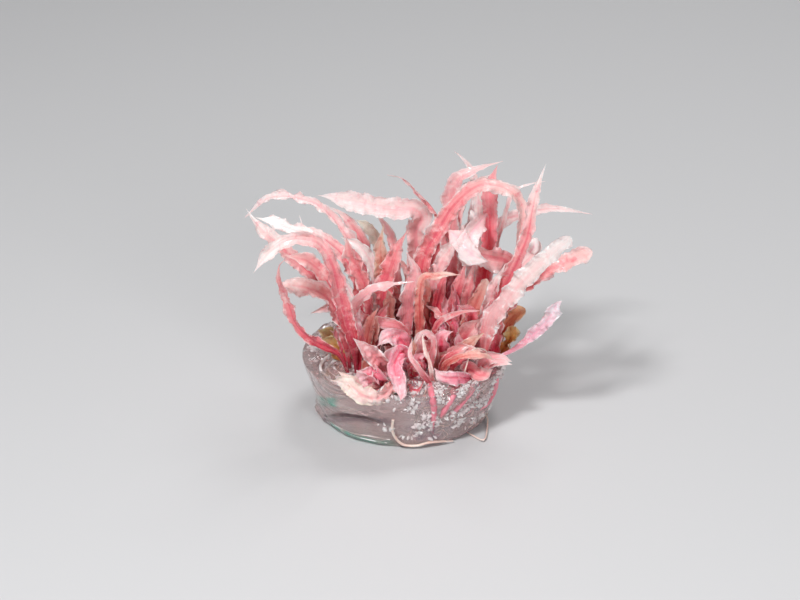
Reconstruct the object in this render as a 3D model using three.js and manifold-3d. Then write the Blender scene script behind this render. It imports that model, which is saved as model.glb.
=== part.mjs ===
// Tissue culture cryptocoryne: ribbon leaves growing out of a clear gel plug.
// Millimetres, +Z up. The origin is the centre of the plug's flat base, and the leaves' open side faces -Y.

import * as THREE from "three";
import { mergeVertices } from "three/addons/utils/BufferGeometryUtils.js";
import Module from "manifold-3d";

const wasm = await Module();
wasm.setup();

// Gel plug
const gelHeight = 22;
const gelTopRadius = 35;
const gelBaseRadius = 28.5;
const gelSides = 44;
const seatHeight = 20.4; // where a leaf's foot stands, inside the gel's broken top
const gap = 0.4; // clearance between the gel and what grows through it

// Leaves
const petioleWidth = 1.3;
const petioleThickness = 1.1;
const bladeThickness = 0.75;
const tipWidth = 0.35;

// Routes are laid out on a plane that leans back by this angle, and depth runs along +Y
const routeTilt = THREE.MathUtils.degToRad(25);
const towardRouteViewer = new THREE.Vector3(0, -Math.cos(routeTilt), Math.sin(routeTilt));

const finishes = {
  gel: { color: 0xc9c9d2, roughness: 0.12, metalness: 0, transparent: true, opacity: 0.55 },
  pink: { color: 0xe58f95, roughness: 0.35, metalness: 0 },
  deep: { color: 0xb03048, roughness: 0.35, metalness: 0 },
  pale: { color: 0xf3d3d0, roughness: 0.35, metalness: 0 },
  tan: { color: 0xd6926c, roughness: 0.4, metalness: 0 },
  brown: { color: 0x9a6a33, roughness: 0.5, metalness: 0 },
  root: { color: 0xe9c9bd, roughness: 0.35, metalness: 0 },
};

// Each leaf: width of its blade, foot [x, y] on the gel, route [across, up] on the leaning plane,
// depth at even steps along the leaf, roll about its own length at foot and tip, and tone.
const leaves = [
  // Left crown
  { name: "leaf_left_arch", width: 6, foot: [-16.2, -15.5], tone: "pink",
    route: [[-17, 22], [-19, 30], [-21.5, 40], [-23.5, 48], [-28, 55], [-36, 56], [-43, 52], [-48.5, 45.5]],
    depth: [-15.5, -24, -30, -33, -34], roll: [10, 30] },
  { name: "leaf_left_outer", width: 3.2, foot: [-18.8, -14.5], tone: "pink",
    route: [[-22, 19], [-29, 23], [-35, 28], [-38, 36], [-40.5, 43], [-40.5, 48], [-38.5, 50]],
    depth: [-14.5, -19, -22, -25], roll: [20, 40] },
  { name: "leaf_left_ruffled", width: 4.5, foot: [-18.4, -11], tone: "tan",
    route: [[-20, 26], [-23, 34], [-27, 38.5], [-33, 41], [-41.5, 42.2]],
    depth: [-11, -14, -16.5, -17.5], roll: [10, 10] },
  { name: "leaf_left_pointed", width: 6, foot: [-17.4, -7.3], tone: "pale",
    route: [[-19, 26], [-23, 36], [-29, 43.5], [-36, 50], [-43, 56], [-49, 62], [-52.5, 67]],
    depth: [-7.3, -6, -4, -1, 2], roll: [0, 20] },
  { name: "leaf_left_inner", width: 5, foot: [-14.8, -10.6], tone: "pink",
    route: [[-16.5, 20], [-19, 28], [-22, 36], [-26, 44], [-30, 50], [-34, 53.5]],
    depth: [-10.6, -11, -12, -13.5], roll: [20, 30] },
  { name: "leaf_left_upper", width: 4.8, foot: [-14.4, -1], tone: "pink",
    route: [[-14.6, 26], [-14.8, 34], [-17, 45], [-22, 53], [-29, 58], [-38, 60.3], [-45, 63], [-50, 64.5]],
    depth: [-1, 2, 5, 7, 9], roll: [10, 30] },
  { name: "leaf_left_small", width: 3.6, foot: [-16.8, 2], tone: "pale",
    route: [[-20, 31], [-25, 34.5], [-32, 32.3]],
    depth: [2, 3, 3, 2], roll: [0, 20] },
  { name: "leaf_pink_tip", width: 4.2, foot: [-11.2, -1.5], tone: "pink",
    route: [[-11.5, 28], [-12, 38], [-15, 46], [-18, 53], [-19.5, 58]],
    depth: [-1.5, -2.5, -4, -7], roll: [10, 40] },
  { name: "leaf_back_spike", width: 2, foot: [-12.5, 8], tone: "pale",
    route: [[-15, 32], [-20, 42], [-28, 53], [-34, 60], [-36, 65.7]],
    depth: [8, 16, 22, 26], roll: [0, 0] },
  { name: "leaf_left_decayed", width: 5.5, foot: [-19.6, -3.5], blade: 0.25, tone: "brown",
    route: [[-21.5, 21], [-25, 24.5], [-29.5, 26.8]],
    depth: [-3.5, 0, 3], roll: [0, 0] },
  // Back left
  { name: "leaf_back_left", width: 4.5, foot: [-9.8, 12], tone: "pale",
    route: [[-11, 32], [-13, 42], [-17, 53], [-22, 61.5], [-29, 68.5], [-38, 71.7], [-46, 71.8], [-54.7, 65]],
    depth: [12, 18, 24, 28, 30], roll: [0, 30] },
  { name: "leaf_back_second", width: 4, foot: [-7, 15.5], tone: "pink",
    route: [[-8.5, 32], [-10, 42], [-13, 53], [-17, 61], [-22, 66.5], [-28, 69.5]],
    depth: [15.5, 24, 31, 36], roll: [0, 20] },
  { name: "leaf_white_inner", width: 3.6, foot: [-9, 8], tone: "pale",
    route: [[-9, 32], [-10, 44], [-12.5, 51.5], [-16, 55.5], [-21.5, 58]],
    depth: [8, 9, 9.5, 9], roll: [10, 20] },
  { name: "leaf_grey", width: 4, foot: [-4.5, 12], tone: "tan",
    route: [[-7, 45], [-9, 57], [-12.5, 62], [-17, 64.3]],
    depth: [12, 17, 21, 24], roll: [0, 30] },
  { name: "leaf_tan", width: 5, foot: [-5.2, 6.5], tone: "tan",
    route: [[-7, 40], [-8, 50], [-8, 56], [-7, 62]],
    depth: [6.5, 4, 2], roll: [0, 20] },
  { name: "leaf_red_back", width: 5, foot: [-7, 3], tone: "deep",
    route: [[-7, 38], [-5, 47], [-2.5, 54], [1, 60]],
    depth: [3, -1, -4], roll: [10, 20] },
  { name: "leaf_folded_white", width: 6, foot: [4.6, 10.5], tone: "pale",
    route: [[5, 42], [4, 54], [3.7, 60], [5.6, 64.5], [3, 67.2], [-3, 67.4], [-15, 69], [-25, 71.3], [-29, 71.6]],
    depth: [10.5, 13, 13, 9, 8], roll: [0, 10] },
  // Centre
  { name: "leaf_loop", width: 3, foot: [2.2, -5], tone: "pink",
    route: [[0.5, 25], [-3, 28.5], [-9, 29.7], [-14.5, 31.5], [-16, 35], [-12, 39], [-5, 41.7], [3, 43]],
    depth: [-5, -8, -9, -9.5, -10.5], roll: [30, 30] },
  { name: "leaf_centre_pink", width: 4.6, foot: [0, 0], tone: "pink",
    route: [[1, 30], [2, 40], [3.5, 46.5], [0.3, 53]],
    depth: [0, -3, -5], roll: [0, 20] },
  { name: "leaf_yellow_tip", width: 3.6, foot: [4, -1.5], tone: "tan",
    route: [[5, 30], [5, 39], [6.5, 44], [12, 45], [18.5, 45.2]],
    depth: [-1.5, -6, -9], roll: [20, 20] },
  { name: "leaf_salmon", width: 4.6, foot: [7.2, 3], tone: "tan",
    route: [[7, 28], [6, 36], [6.5, 42], [4, 47]],
    depth: [3, 2, 1], roll: [0, 10] },
  { name: "leaf_thin_arch", width: 3, foot: [13, 11], tone: "deep",
    route: [[14, 42], [14.5, 56], [10, 65.8], [4, 72.5], [-1, 77], [-6, 78.1]],
    depth: [11, 8, 6, 4], roll: [70, 75] },
  { name: "leaf_big_arch", width: 7, foot: [8.6, 8.5], tone: "pink",
    route: [[5.5, 36], [6, 50], [11, 60], [17, 69], [25, 74.5], [33, 73.3], [38, 68.5], [38.3, 61], [36.5, 54.5]],
    depth: [8.5, 5, 2, 0, -2, -4], roll: [0, 20] },
  { name: "leaf_behind_arch", width: 6, foot: [9.6, 16], tone: "pink",
    route: [[7, 38], [7.5, 47], [12, 56], [18, 64], [20.5, 68.5]],
    depth: [16, 18, 19, 18], roll: [0, 20] },
  { name: "leaf_white_back", width: 6, foot: [12, 19.5], tone: "pale",
    route: [[10.5, 40], [11.5, 48], [15.5, 56], [21, 61.5], [26, 66]],
    depth: [19.5, 28, 33, 36], roll: [0, 20] },
  { name: "leaf_top_left", width: 6, foot: [15.2, 15], tone: "pink",
    route: [[15.3, 44], [15.2, 60], [15.8, 70], [18, 77], [24, 80.5], [32.7, 83.2]],
    depth: [15, 15, 14, 15, 17], roll: [0, 20] },
  { name: "leaf_top_point", width: 3, foot: [17.6, 19.5], tone: "pale",
    route: [[19, 45], [22, 60], [24, 72], [23, 80], [19.5, 85], [16.3, 87.5]],
    depth: [19.5, 24, 28, 31], roll: [0, 30] },
  { name: "leaf_midrib", width: 6, foot: [22.2, 13.5], tone: "deep",
    route: [[26, 42], [28, 54], [28.5, 64], [28.5, 72], [29, 77], [30.5, 81.5]],
    depth: [13.5, 10, 8, 8], roll: [0, 10] },
  { name: "leaf_beside_midrib", width: 4, foot: [19.6, 17], tone: "pink",
    route: [[22, 42], [24, 58], [24.5, 68], [25, 74], [29, 79.3]],
    depth: [17, 16, 13, 11.5], roll: [0, 20] },
  { name: "leaf_thin_right", width: 2, foot: [25.6, 16.5], tone: "pale",
    route: [[29.5, 45], [33, 62], [37, 73.5], [42, 76], [47.5, 77]],
    depth: [16.5, 21, 24, 25], roll: [0, 20] },
  { name: "leaf_far_right", width: 4, foot: [22.5, 21.5], tone: "pale",
    route: [[26, 42], [29, 56], [33, 63.5], [41, 66.5], [50, 68.2], [57, 67.6], [64.5, 66.3]],
    depth: [21.5, 29, 33, 34, 34], roll: [0, 20] },
  // Right crown
  { name: "leaf_right_upright", width: 6.5, foot: [27, -7.5], tone: "pink",
    route: [[28, 28], [32, 39], [37, 50], [40, 58], [41.3, 66], [43, 74], [45.3, 80.7]],
    depth: [-7.5, -10, -12, -13, -13], roll: [10, 20] },
  { name: "leaf_right_blunt", width: 6.5, foot: [25.6, -11.5], tone: "pale", tip: 4.5,
    route: [[28, 28], [34, 38], [41, 45.5], [47, 51.5], [53.2, 57]],
    depth: [-11.5, -17, -22, -26], roll: [0, 10] },
  { name: "leaf_right_rounded", width: 5.5, foot: [28.6, -4], tone: "pink", tip: 3,
    route: [[32, 32], [40, 41], [48, 47], [55, 49.7], [61.7, 53]],
    depth: [-4, -4, -4, -6], roll: [0, 20] },
  { name: "leaf_right_orange", width: 4.6, foot: [30, 1.5], tone: "tan", tip: 2,
    route: [[31, 24], [35, 30], [40.5, 34]],
    depth: [1.5, 3, 4], roll: [0, 10] },
  { name: "leaf_right_olive", width: 4.6, foot: [31, -6.5], tone: "brown", tip: 2,
    route: [[32, 19], [35, 23], [37, 28]],
    depth: [-6.5, -6, -5], roll: [0, 20] },
  { name: "leaf_right_lilac", width: 5, foot: [29, -11], tone: "pale", blade: 0.45,
    route: [[31, 17.5], [36, 20.3], [42, 25], [46.5, 30], [51, 36.5]],
    depth: [-11, -12, -16, -20], roll: [0, 20] },
  { name: "leaf_right_curl", width: 3.6, foot: [27, 5.5], tone: "pale", tip: 1.5,
    route: [[29, 30], [33, 38], [38, 47], [42.3, 52], [43.6, 55.5], [41, 57.8]],
    depth: [5.5, 3, 1, 0, 0], roll: [0, 20] },
  { name: "leaf_hanging_fold", width: 5.6, foot: [25.4, 12.2], tone: "pale",
    route: [[30, 32], [34, 40], [36, 46.5], [33.5, 50], [29, 51], [24, 52.5], [20, 55], [17.5, 59]],
    depth: [12.2, 11, 8, 3, 0, -1], roll: [0, 20] },
  { name: "leaf_dark_inner", width: 4, foot: [11.2, 1.2], tone: "deep",
    route: [[10.5, 32], [12, 40], [14, 47]],
    depth: [1.2, 0, -1], roll: [20, 30] },
  { name: "leaf_ruffled_inner", width: 4.6, foot: [14.6, 4.5], tone: "deep",
    route: [[16.5, 32], [18, 41], [20.5, 50]],
    depth: [4.5, 3, 2], roll: [10, 20] },
  { name: "leaf_round_tip", width: 5, foot: [19.6, 0], tone: "tan", tip: 3,
    route: [[21, 28], [23.5, 35], [25.5, 40], [27, 44]],
    depth: [0, -2, -3, -4], roll: [0, 0] },
  { name: "leaf_front_arch", width: 2, foot: [9.2, -6.5], tone: "pink",
    route: [[10.5, 28.5], [14, 31.3], [19, 32.9], [24.5, 33.4]],
    depth: [-6.5, -10, -14, -18], roll: [0, 20] },
  { name: "leaf_broad_right", width: 6, foot: [16, -7], tone: "pink",
    route: [[17, 19], [19.5, 24], [22.5, 28], [25.5, 31]],
    depth: [-7, -10, -14], roll: [0, 10] },
  // Front, low
  { name: "leaf_front_cream", width: 4.5, foot: [-2.6, -25.5], tone: "pale",
    route: [[-4, 9.2], [-6, 6.8], [-9, 5], [-14, 6], [-19, 10], [-24, 10.5]],
    depth: [-25.5, -34, -37, -35.5, -32, -28], roll: [0, 0] },
  { name: "leaf_front_magenta", width: 6, foot: [-7, -24], blade: 0.25, tone: "deep",
    route: [[-10, 11], [-15, 14]],
    depth: [-24, -26.5, -28], roll: [0, 20] },
  { name: "leaf_front_white", width: 4, foot: [-4.6, -18.5], tone: "pale",
    route: [[-8, 16], [-13, 21], [-17, 24.5]],
    depth: [-18.5, -24, -27], roll: [10, 10] },
  { name: "leaf_front_saddle", width: 4.5, foot: [1.4, -9.5], tone: "pink",
    route: [[0, 21.5], [-2.5, 24.5], [-6, 24.8], [-9.5, 21.5]],
    depth: [-9.5, -13, -15, -17], roll: [0, 20] },
  { name: "leaf_front_hanging", width: 4.5, foot: [1.2, -13.5], tone: "pale",
    route: [[-1.5, 19.5], [-3.5, 15], [-1.5, 8], [-1.5, 4]],
    depth: [-13.5, -23, -29, -34, -37.5], roll: [0, 10] },
  { name: "leaf_front_curl", width: 2.6, foot: [8, -16], tone: "tan",
    route: [[9, 19], [9, 24.5], [6, 26.3], [3.5, 23]],
    depth: [-16, -19, -20, -22], roll: [10, 10] },
  { name: "leaf_front_strap", width: 3.6, foot: [12, -11.5], tone: "pink",
    route: [[15, 18.5], [20, 20.5], [26, 20]],
    depth: [-11.5, -18, -20, -22], roll: [0, 20] },
  { name: "leaf_front_boat", width: 4, foot: [23, -18.5], blade: 0.25, tone: "pale",
    route: [[18, 11.5], [12, 12], [9.5, 14.7]],
    depth: [-18.5, -26, -28, -27], roll: [0, 10] },
  { name: "leaf_front_right", width: 2.5, foot: [24.6, -15.8], tone: "pale",
    route: [[30, 16], [35.5, 15.5]],
    depth: [-15.8, -17, -18], roll: [0, 10] },
];

// Roots and stalks: diameter and route [across, up, depth]
const roots = [
  { name: "stalk_centre", diameter: 1.3, tone: "deep",
    route: [[2.6, 17, -12], [4, 14.5, -16], [7, 12, -21], [9, 8, -24.5], [9.5, 3, -25.5], [9, -7, -26]] },
  { name: "stalk_middle", diameter: 1.2, tone: "deep",
    route: [[16.5, 12.5, -18], [16, 10, -21], [14, 5, -24], [11, -2, -25.5]] },
  { name: "stalk_right", diameter: 1.2, tone: "pink",
    route: [[28.2, 16.5, -14.5], [29, 12, -12.5], [28.5, 4, -10], [26, 0.5, -11]] },
  { name: "root_front", diameter: 0.9, tone: "root",
    route: [[-4, -2.5, -32.2], [-4.2, -6, -31], [-3, -9, -29.9], [-0.5, -11, -29.3], [4, -11.3, -29.2], [8, -10.3, -28.4],
      [16, -10, -25]] },
  { name: "root_loop", diameter: 0.6, tone: "root",
    route: [[25.6, -1, -9], [27.5, -2.4, -9.5], [27.6, -5.8, -15], [26, -9.7, -24.4], [22.5, -8.3, -20.6], [20, -7, -17.5]] },
];

// A point of the leaning plane, pushed back by its depth
function place([across, up, depth]) {
  return new THREE.Vector3(across, depth, up / Math.cos(routeTilt) - depth * Math.tan(routeTilt));
}

// The value at fraction t of a list that is spread evenly from 0 to 1
function spread(values, t) {
  const x = Math.min(Math.max(t, 0), 1) * (values.length - 1);
  const i = Math.min(Math.floor(x), values.length - 2);
  return THREE.MathUtils.lerp(values[i], values[i + 1], x - i);
}

// The foot stands in the gel; the rest of the route takes its depth from the share of the way travelled
function leafCurve({ foot, route, depth }) {
  const start = new THREE.Vector3(foot[0], foot[1], seatHeight);
  const startUp = (seatHeight + foot[1] * Math.tan(routeTilt)) * Math.cos(routeTilt);
  const flat = [[foot[0], startUp], ...route];
  const travelled = [0];
  for (let i = 1; i < flat.length; i += 1) {
    const step = Math.hypot(flat[i][0] - flat[i - 1][0], flat[i][1] - flat[i - 1][1]);
    travelled.push(travelled[i - 1] + step);
  }
  const whole = travelled[travelled.length - 1];
  const points = route.map(([across, up], i) => place([across, up, spread(depth, travelled[i + 1] / whole)]));
  return new THREE.CatmullRomCurve3([start, ...points], false, "centripetal");
}

// Bends an upright cylinder blank along a curve; section gives each vertex its sideways and facing offset
function bend(curve, sides, steps, section) {
  const blank = new THREE.CylinderGeometry(1, 1, 1, sides, steps);
  blank.deleteAttribute("normal");
  blank.deleteAttribute("uv");
  const geometry = mergeVertices(blank, 1e-4);
  const position = geometry.attributes.position;
  const centre = new THREE.Vector3();
  const along = new THREE.Vector3();
  const facing = new THREE.Vector3();
  const side = new THREE.Vector3();
  for (let i = 0; i < position.count; i += 1) {
    const t = position.getY(i) + 0.5;
    const station = Math.round(t * steps);
    curve.getPointAt(t, centre);
    curve.getTangentAt(t, along);
    facing.copy(towardRouteViewer).addScaledVector(along, -towardRouteViewer.dot(along)).normalize();
    side.crossVectors(along, facing);
    const [sideways, outward] = section(position.getX(i), position.getZ(i), t, station);
    centre.addScaledVector(side, sideways).addScaledVector(facing, outward);
    position.setXYZ(i, centre.x, centre.y, centre.z);
  }
  return geometry;
}

// Blade width along the leaf: a thin stalk, a long blade and a drawn-out tip
function widthAt({ width, blade = 0.1, tip = tipWidth }, t) {
  const open = THREE.MathUtils.smoothstep(t, blade * 0.4, blade + 0.24);
  const close = THREE.MathUtils.smoothstep(t, 0.7, 1);
  return THREE.MathUtils.lerp(THREE.MathUtils.lerp(petioleWidth, width, open), tip, close);
}

// A shallow trough with crimped margins
function leafGeometry(leaf) {
  const curve = leafCurve(leaf);
  const steps = Math.round(THREE.MathUtils.clamp(curve.getLength() / 5.2, 6, 16));
  return bend(curve, 4, steps, (x, z, t, station) => {
    const width = widthAt(leaf, t);
    const open = THREE.MathUtils.smoothstep(t, 0.1, 0.4);
    const thickness = THREE.MathUtils.lerp(petioleThickness, bladeThickness, open) * (t > 0.99 ? 0.5 : 1);
    const roll = THREE.MathUtils.degToRad(spread(leaf.roll, t));
    const crimp = (station % 2 ? 1 : -1) * 0.03 * width * open;
    let sideways = x * width * 0.5;
    let outward = z * thickness * 0.5;
    if (Math.abs(x) > 0.5) {
      outward += 0.16 * width * open + crimp * Math.sign(x);
    }
    return [
      sideways * Math.cos(roll) - outward * Math.sin(roll),
      sideways * Math.sin(roll) + outward * Math.cos(roll),
    ];
  });
}

function tubeGeometry(curve, radius, sides, steps) {
  return bend(curve, sides, steps, (x, z) => [x * radius, z * radius]);
}

function solid(geometry) {
  return new wasm.Manifold(new wasm.Mesh({
    numProp: 3,
    vertProperties: new Float32Array(geometry.attributes.position.array),
    triVerts: new Uint32Array(geometry.index.array),
  }));
}

function geometryOf(manifold) {
  const mesh = manifold.getMesh();
  return new THREE.BufferGeometry()
    .setAttribute("position", new THREE.BufferAttribute(new Float32Array(mesh.vertProperties), 3))
    .setIndex(new THREE.BufferAttribute(new Uint32Array(mesh.triVerts), 1));
}

// The plug keeps the cup's taper. Its top is broken and uneven, and a skin stands out low on its left side.
function gelBlank() {
  const profile = [
    [0, 0], [gelBaseRadius * 0.55, 0], [gelBaseRadius - 1.2, 0], [gelBaseRadius + 0.2, 1.1], [30.5, 7], [32.6, 14],
    [34.4, 19.8], [gelTopRadius, 21.4], [33.2, gelHeight], [26, gelHeight], [17, gelHeight], [8, gelHeight],
    [0, gelHeight],
  ];
  const lathe = new THREE.LatheGeometry(profile.map(([r, z]) => new THREE.Vector2(r, z)), gelSides);
  lathe.deleteAttribute("normal");
  lathe.deleteAttribute("uv");
  const geometry = mergeVertices(lathe, 1e-4);
  geometry.rotateX(Math.PI / 2);
  const position = geometry.attributes.position;
  for (let i = 0; i < position.count; i += 1) {
    let x = position.getX(i);
    let y = position.getY(i);
    let z = position.getZ(i);
    const radius = Math.hypot(x, y);
    const turn = Math.atan2(y, x);
    if (radius > 25 && z < 21) {
      const skin = 2.4 * Math.exp(-(((z - 1.1) / 2) ** 2)) * Math.exp(-(((Math.abs(turn) - 3.02) / 0.3) ** 2));
      const notch = -1.6 * Math.exp(-((z / 4) ** 2)) * Math.exp(-(((turn + 1.7) / 0.09) ** 2));
      const dent = 0.35 * Math.sin(3 * turn + 0.6) * Math.sin(z * 0.25);
      const stretch = (radius + (z > 0.5 ? skin : 0) + notch + dent) / radius;
      x *= stretch;
      y *= stretch;
    }
    if (z > 21.5 && radius < 34) {
      z += 0.55 * Math.sin(x * 0.31 + 1) * Math.cos(y * 0.27) - 0.35;
    }
    position.setXYZ(i, x, y, z);
  }
  return geometry;
}

// What is left of a curve below a height, as a curve of its own that starts a little lower
function stretchBelow(curve, height) {
  const points = [];
  for (let i = 0; i <= 60; i += 1) {
    const point = curve.getPointAt(i / 60);
    if (point.z > height && points.length > 1) {
      break;
    }
    points.push(point);
  }
  const first = points[0].clone();
  first.addScaledVector(curve.getTangentAt(0), -gap);
  return new THREE.CatmullRomCurve3([first, ...points], false, "centripetal");
}

const plant = new THREE.Group();
plant.name = "tissue_culture_plant";

function add(name, geometry, tone) {
  geometry.computeVertexNormals();
  const mesh = new THREE.Mesh(geometry, new THREE.MeshStandardMaterial(finishes[tone]));
  mesh.name = name;
  plant.add(mesh);
}

let gel = solid(gelBlank());
for (const leaf of leaves) {
  add(leaf.name, leafGeometry(leaf), leaf.tone);
  const seat = stretchBelow(leafCurve(leaf), gelHeight + 1.6);
  gel = gel.subtract(solid(tubeGeometry(seat, petioleWidth / 2 + gap + 0.15, 5, 2)));
}
for (const root of roots) {
  const curve = new THREE.CatmullRomCurve3(root.route.map(place), false, "centripetal");
  const steps = Math.round(curve.getLength() / 2.6);
  add(root.name, tubeGeometry(curve, root.diameter / 2, 6, steps), root.tone);
  const first = curve.getPointAt(0).addScaledVector(curve.getTangentAt(0), -gap);
  const last = curve.getPointAt(1).addScaledVector(curve.getTangentAt(1), gap);
  const channel = new THREE.CatmullRomCurve3([first, ...root.route.map(place), last], false, "centripetal");
  gel = gel.subtract(solid(tubeGeometry(channel, root.diameter / 2 + gap, 6, steps)));
}
add("gel_block", geometryOf(gel), "gel");

export default plant;
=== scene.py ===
# Tissue culture cryptocoryne: pink ribbon leaves growing out of a clear gel plug
import math
import random

import bmesh
import bpy
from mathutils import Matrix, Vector, noise


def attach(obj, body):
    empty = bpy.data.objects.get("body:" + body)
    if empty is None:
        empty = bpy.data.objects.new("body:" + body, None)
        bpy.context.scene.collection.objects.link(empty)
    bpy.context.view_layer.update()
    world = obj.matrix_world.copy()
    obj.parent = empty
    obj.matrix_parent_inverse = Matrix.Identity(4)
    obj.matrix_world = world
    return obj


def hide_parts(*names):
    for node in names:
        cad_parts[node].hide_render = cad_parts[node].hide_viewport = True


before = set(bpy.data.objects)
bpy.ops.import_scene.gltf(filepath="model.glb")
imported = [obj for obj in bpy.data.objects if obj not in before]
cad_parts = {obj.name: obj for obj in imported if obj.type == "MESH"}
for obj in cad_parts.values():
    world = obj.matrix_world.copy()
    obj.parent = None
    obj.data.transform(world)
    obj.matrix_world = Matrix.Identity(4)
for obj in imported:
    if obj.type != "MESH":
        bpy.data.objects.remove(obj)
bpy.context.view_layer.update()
mm = 0.001
print("frame loaded")


# A wire is a node's output that can be used in sums
class Wire:
    def __init__(self, graph, socket):
        self.graph = graph
        self.socket = socket

    def __add__(self, other):
        return self.graph.maths("ADD", self, other)

    def __sub__(self, other):
        return self.graph.maths("SUBTRACT", self, other)

    def __rsub__(self, other):
        return self.graph.maths("SUBTRACT", other, self)

    def __mul__(self, other):
        return self.graph.maths("MULTIPLY", self, other)

    def __truediv__(self, other):
        return self.graph.maths("DIVIDE", self, other)

    def __pow__(self, other):
        return self.graph.maths("POWER", self, other)

    __radd__ = __add__
    __rmul__ = __mul__


# Builds one node tree, for a material or for geometry
class Graph:
    def __init__(self, tree):
        self.tree = tree

    # Sets the sockets of a node: a wire is linked, a plain value stays on the socket
    def fill(self, made, values):
        for key, value in values.items():
            socket = made.inputs[key]
            if isinstance(value, Wire):
                self.tree.links.new(value.socket, socket)
            elif hasattr(socket.default_value, "__len__") and len(socket.default_value) == 4:
                socket.default_value = (*value[:3], 1)
            else:
                socket.default_value = value

    # Adds a node: its settings go on first, then the values or wires of its sockets
    def node(self, kind, settings=None, values=None, output=0):
        made = self.tree.nodes.new(kind)
        for key, value in (settings or {}).items():
            if key == "stops":
                ramp = made.color_ramp
                while len(ramp.elements) < len(value):
                    ramp.elements.new(0.5)
                for element, (place, colour) in zip(ramp.elements, value):
                    element.position = place
                    element.color = (*colour, 1)
            else:
                setattr(made, key, value)
        self.fill(made, values or {})
        return Wire(self, made.outputs[output])

    def maths(self, operation, *terms):
        return self.node("ShaderNodeMath", {"operation": operation}, dict(enumerate(terms)))

    def vectorMaths(self, operation, *terms):
        return self.node("ShaderNodeVectorMath", {"operation": operation}, dict(enumerate(terms)))

    # A distance, length or dot product: vectors in, a number out
    def measure(self, operation, *terms):
        return self.node("ShaderNodeVectorMath", {"operation": operation}, dict(enumerate(terms)), "Value")

    def scaled(self, vector, factor):
        return self.node("ShaderNodeVectorMath", {"operation": "SCALE"}, {0: vector, "Scale": factor})

    def split(self, vector):
        parts = self.node("ShaderNodeSeparateXYZ", {}, {0: vector}).socket.node
        return [Wire(self, parts.outputs[i]) for i in range(3)]

    # Bottom at low, top at high, with a smooth step between
    def smooth(self, value, low, high, bottom=0.0, top=1.0):
        return self.node("ShaderNodeMapRange", {"interpolation_type": "SMOOTHSTEP"},
                         {0: value, 1: low, 2: high, 3: bottom, 4: top})

    def blend(self, share, low, high):
        return low + (high - low) * share

    def vector(self, x, y, z):
        return self.node("ShaderNodeCombineXYZ", {}, {0: x, 1: y, 2: z})

    def cloud(self, place, scale=1.0, detail=2.0, roughness=0.5):
        return self.node("ShaderNodeTexNoise", {"noise_dimensions": "3D"},
                         {"Vector": place, "Scale": scale, "Detail": detail, "Roughness": roughness})

    def colour(self, share, low, high):
        return self.node("ShaderNodeMix", {"data_type": "RGBA"}, {0: share, 6: low, 7: high}, output=2)

    def attribute(self, name):
        return self.node("ShaderNodeAttribute", {"attribute_name": name}, output="Fac")

    def bump(self, height, strength, distance):
        return self.node("ShaderNodeBump", {}, {"Strength": strength, "Distance": distance, "Height": height})


def addObject(name, data):
    obj = bpy.data.objects.new(name, data)
    bpy.context.collection.objects.link(obj)
    return obj


# Camera at the photograph's angle, on a long lens
camera = {
    "elevation": 25,
    "distance": 0.9,
    "lens": 121,
    "target": (-0.0017, 0, 0.0407),
}


def makeCamera():
    data = bpy.data.cameras.new("camera")
    data.lens = camera["lens"]
    obj = addObject("camera", data)
    rise = math.radians(camera["elevation"])
    back = Vector((0, -math.cos(rise), math.sin(rise)))
    obj.location = Vector(camera["target"]) + back * camera["distance"]
    obj.rotation_euler = (-back).to_track_quat("-Z", "Y").to_euler()
    bpy.context.scene.camera = obj


# Soft studio light: a key high on the left, a fill on the right and a rim from behind.
# The floor rises far behind.
studio = {
    "lamps": [
        ("keyLight", (-0.3, -0.55, 0.8), 0.15, 7.4),
        ("fillLight", (0.35, -0.8, 0.4), 0.25, 2.6),
        ("rimLight", (0.3, 0.45, 1.0), 0.4, 4.5),
    ],
    "lampTarget": (0, 0, 0.04),
    "world": 0.2,
    "floor": (0.58, 0.58, 0.59),
    "floorFront": -3.0,
    "floorHalfWidth": 4,
    "bendStart": 1.2,
    "bendRadius": 0.6,
    "bendSteps": 12,
    "wallTop": 3.0,
    "floorDrop": 0.0002,
}


def makeStudio():
    for name, place, size, power in studio["lamps"]:
        data = bpy.data.lights.new(name, "AREA")
        data.size = size
        data.energy = power
        obj = addObject(name, data)
        obj.location = place
        aim = Vector(studio["lampTarget"]) - Vector(place)
        obj.rotation_euler = aim.to_track_quat("-Z", "Y").to_euler()
    world = bpy.data.worlds.new("studio")
    world.use_nodes = True
    world.node_tree.nodes["Background"].inputs[0].default_value = (1, 1, 1, 1)
    world.node_tree.nodes["Background"].inputs[1].default_value = studio["world"]
    bpy.context.scene.world = world
    bpy.context.scene.view_settings.view_transform = "Standard"
    # The floor with the sweep at its back
    mesh = bpy.data.meshes.new("floor")
    work = bmesh.new()
    start, radius, steps = studio["bendStart"], studio["bendRadius"], studio["bendSteps"]
    turns = [i * math.pi / (2 * steps) for i in range(steps + 1)]
    bend = [(start + radius * math.sin(turn), radius - radius * math.cos(turn)) for turn in turns]
    profile = [(studio["floorFront"], 0)] + bend + [(start + radius, studio["wallTop"])]
    half = studio["floorHalfWidth"]
    rows = [[work.verts.new((x, y, z - studio["floorDrop"])) for x in (-half, half)] for y, z in profile]
    for a, b in zip(rows, rows[1:]):
        work.faces.new((a[0], a[1], b[1], b[0]))
    work.to_mesh(mesh)
    mesh.polygons.foreach_set("use_smooth", [True] * len(mesh.polygons))
    floor = addObject("floor", mesh)
    material, graph, shader = newMaterial("paleFloor")
    graph.fill(shader, {"Base Color": studio["floor"], "Roughness": 0.6})
    floor.data.materials.append(material)


def newMaterial(name):
    material = bpy.data.materials.new(name)
    material.use_nodes = True
    shader = material.node_tree.nodes["Principled BSDF"]
    return material, Graph(material.node_tree), shader


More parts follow.
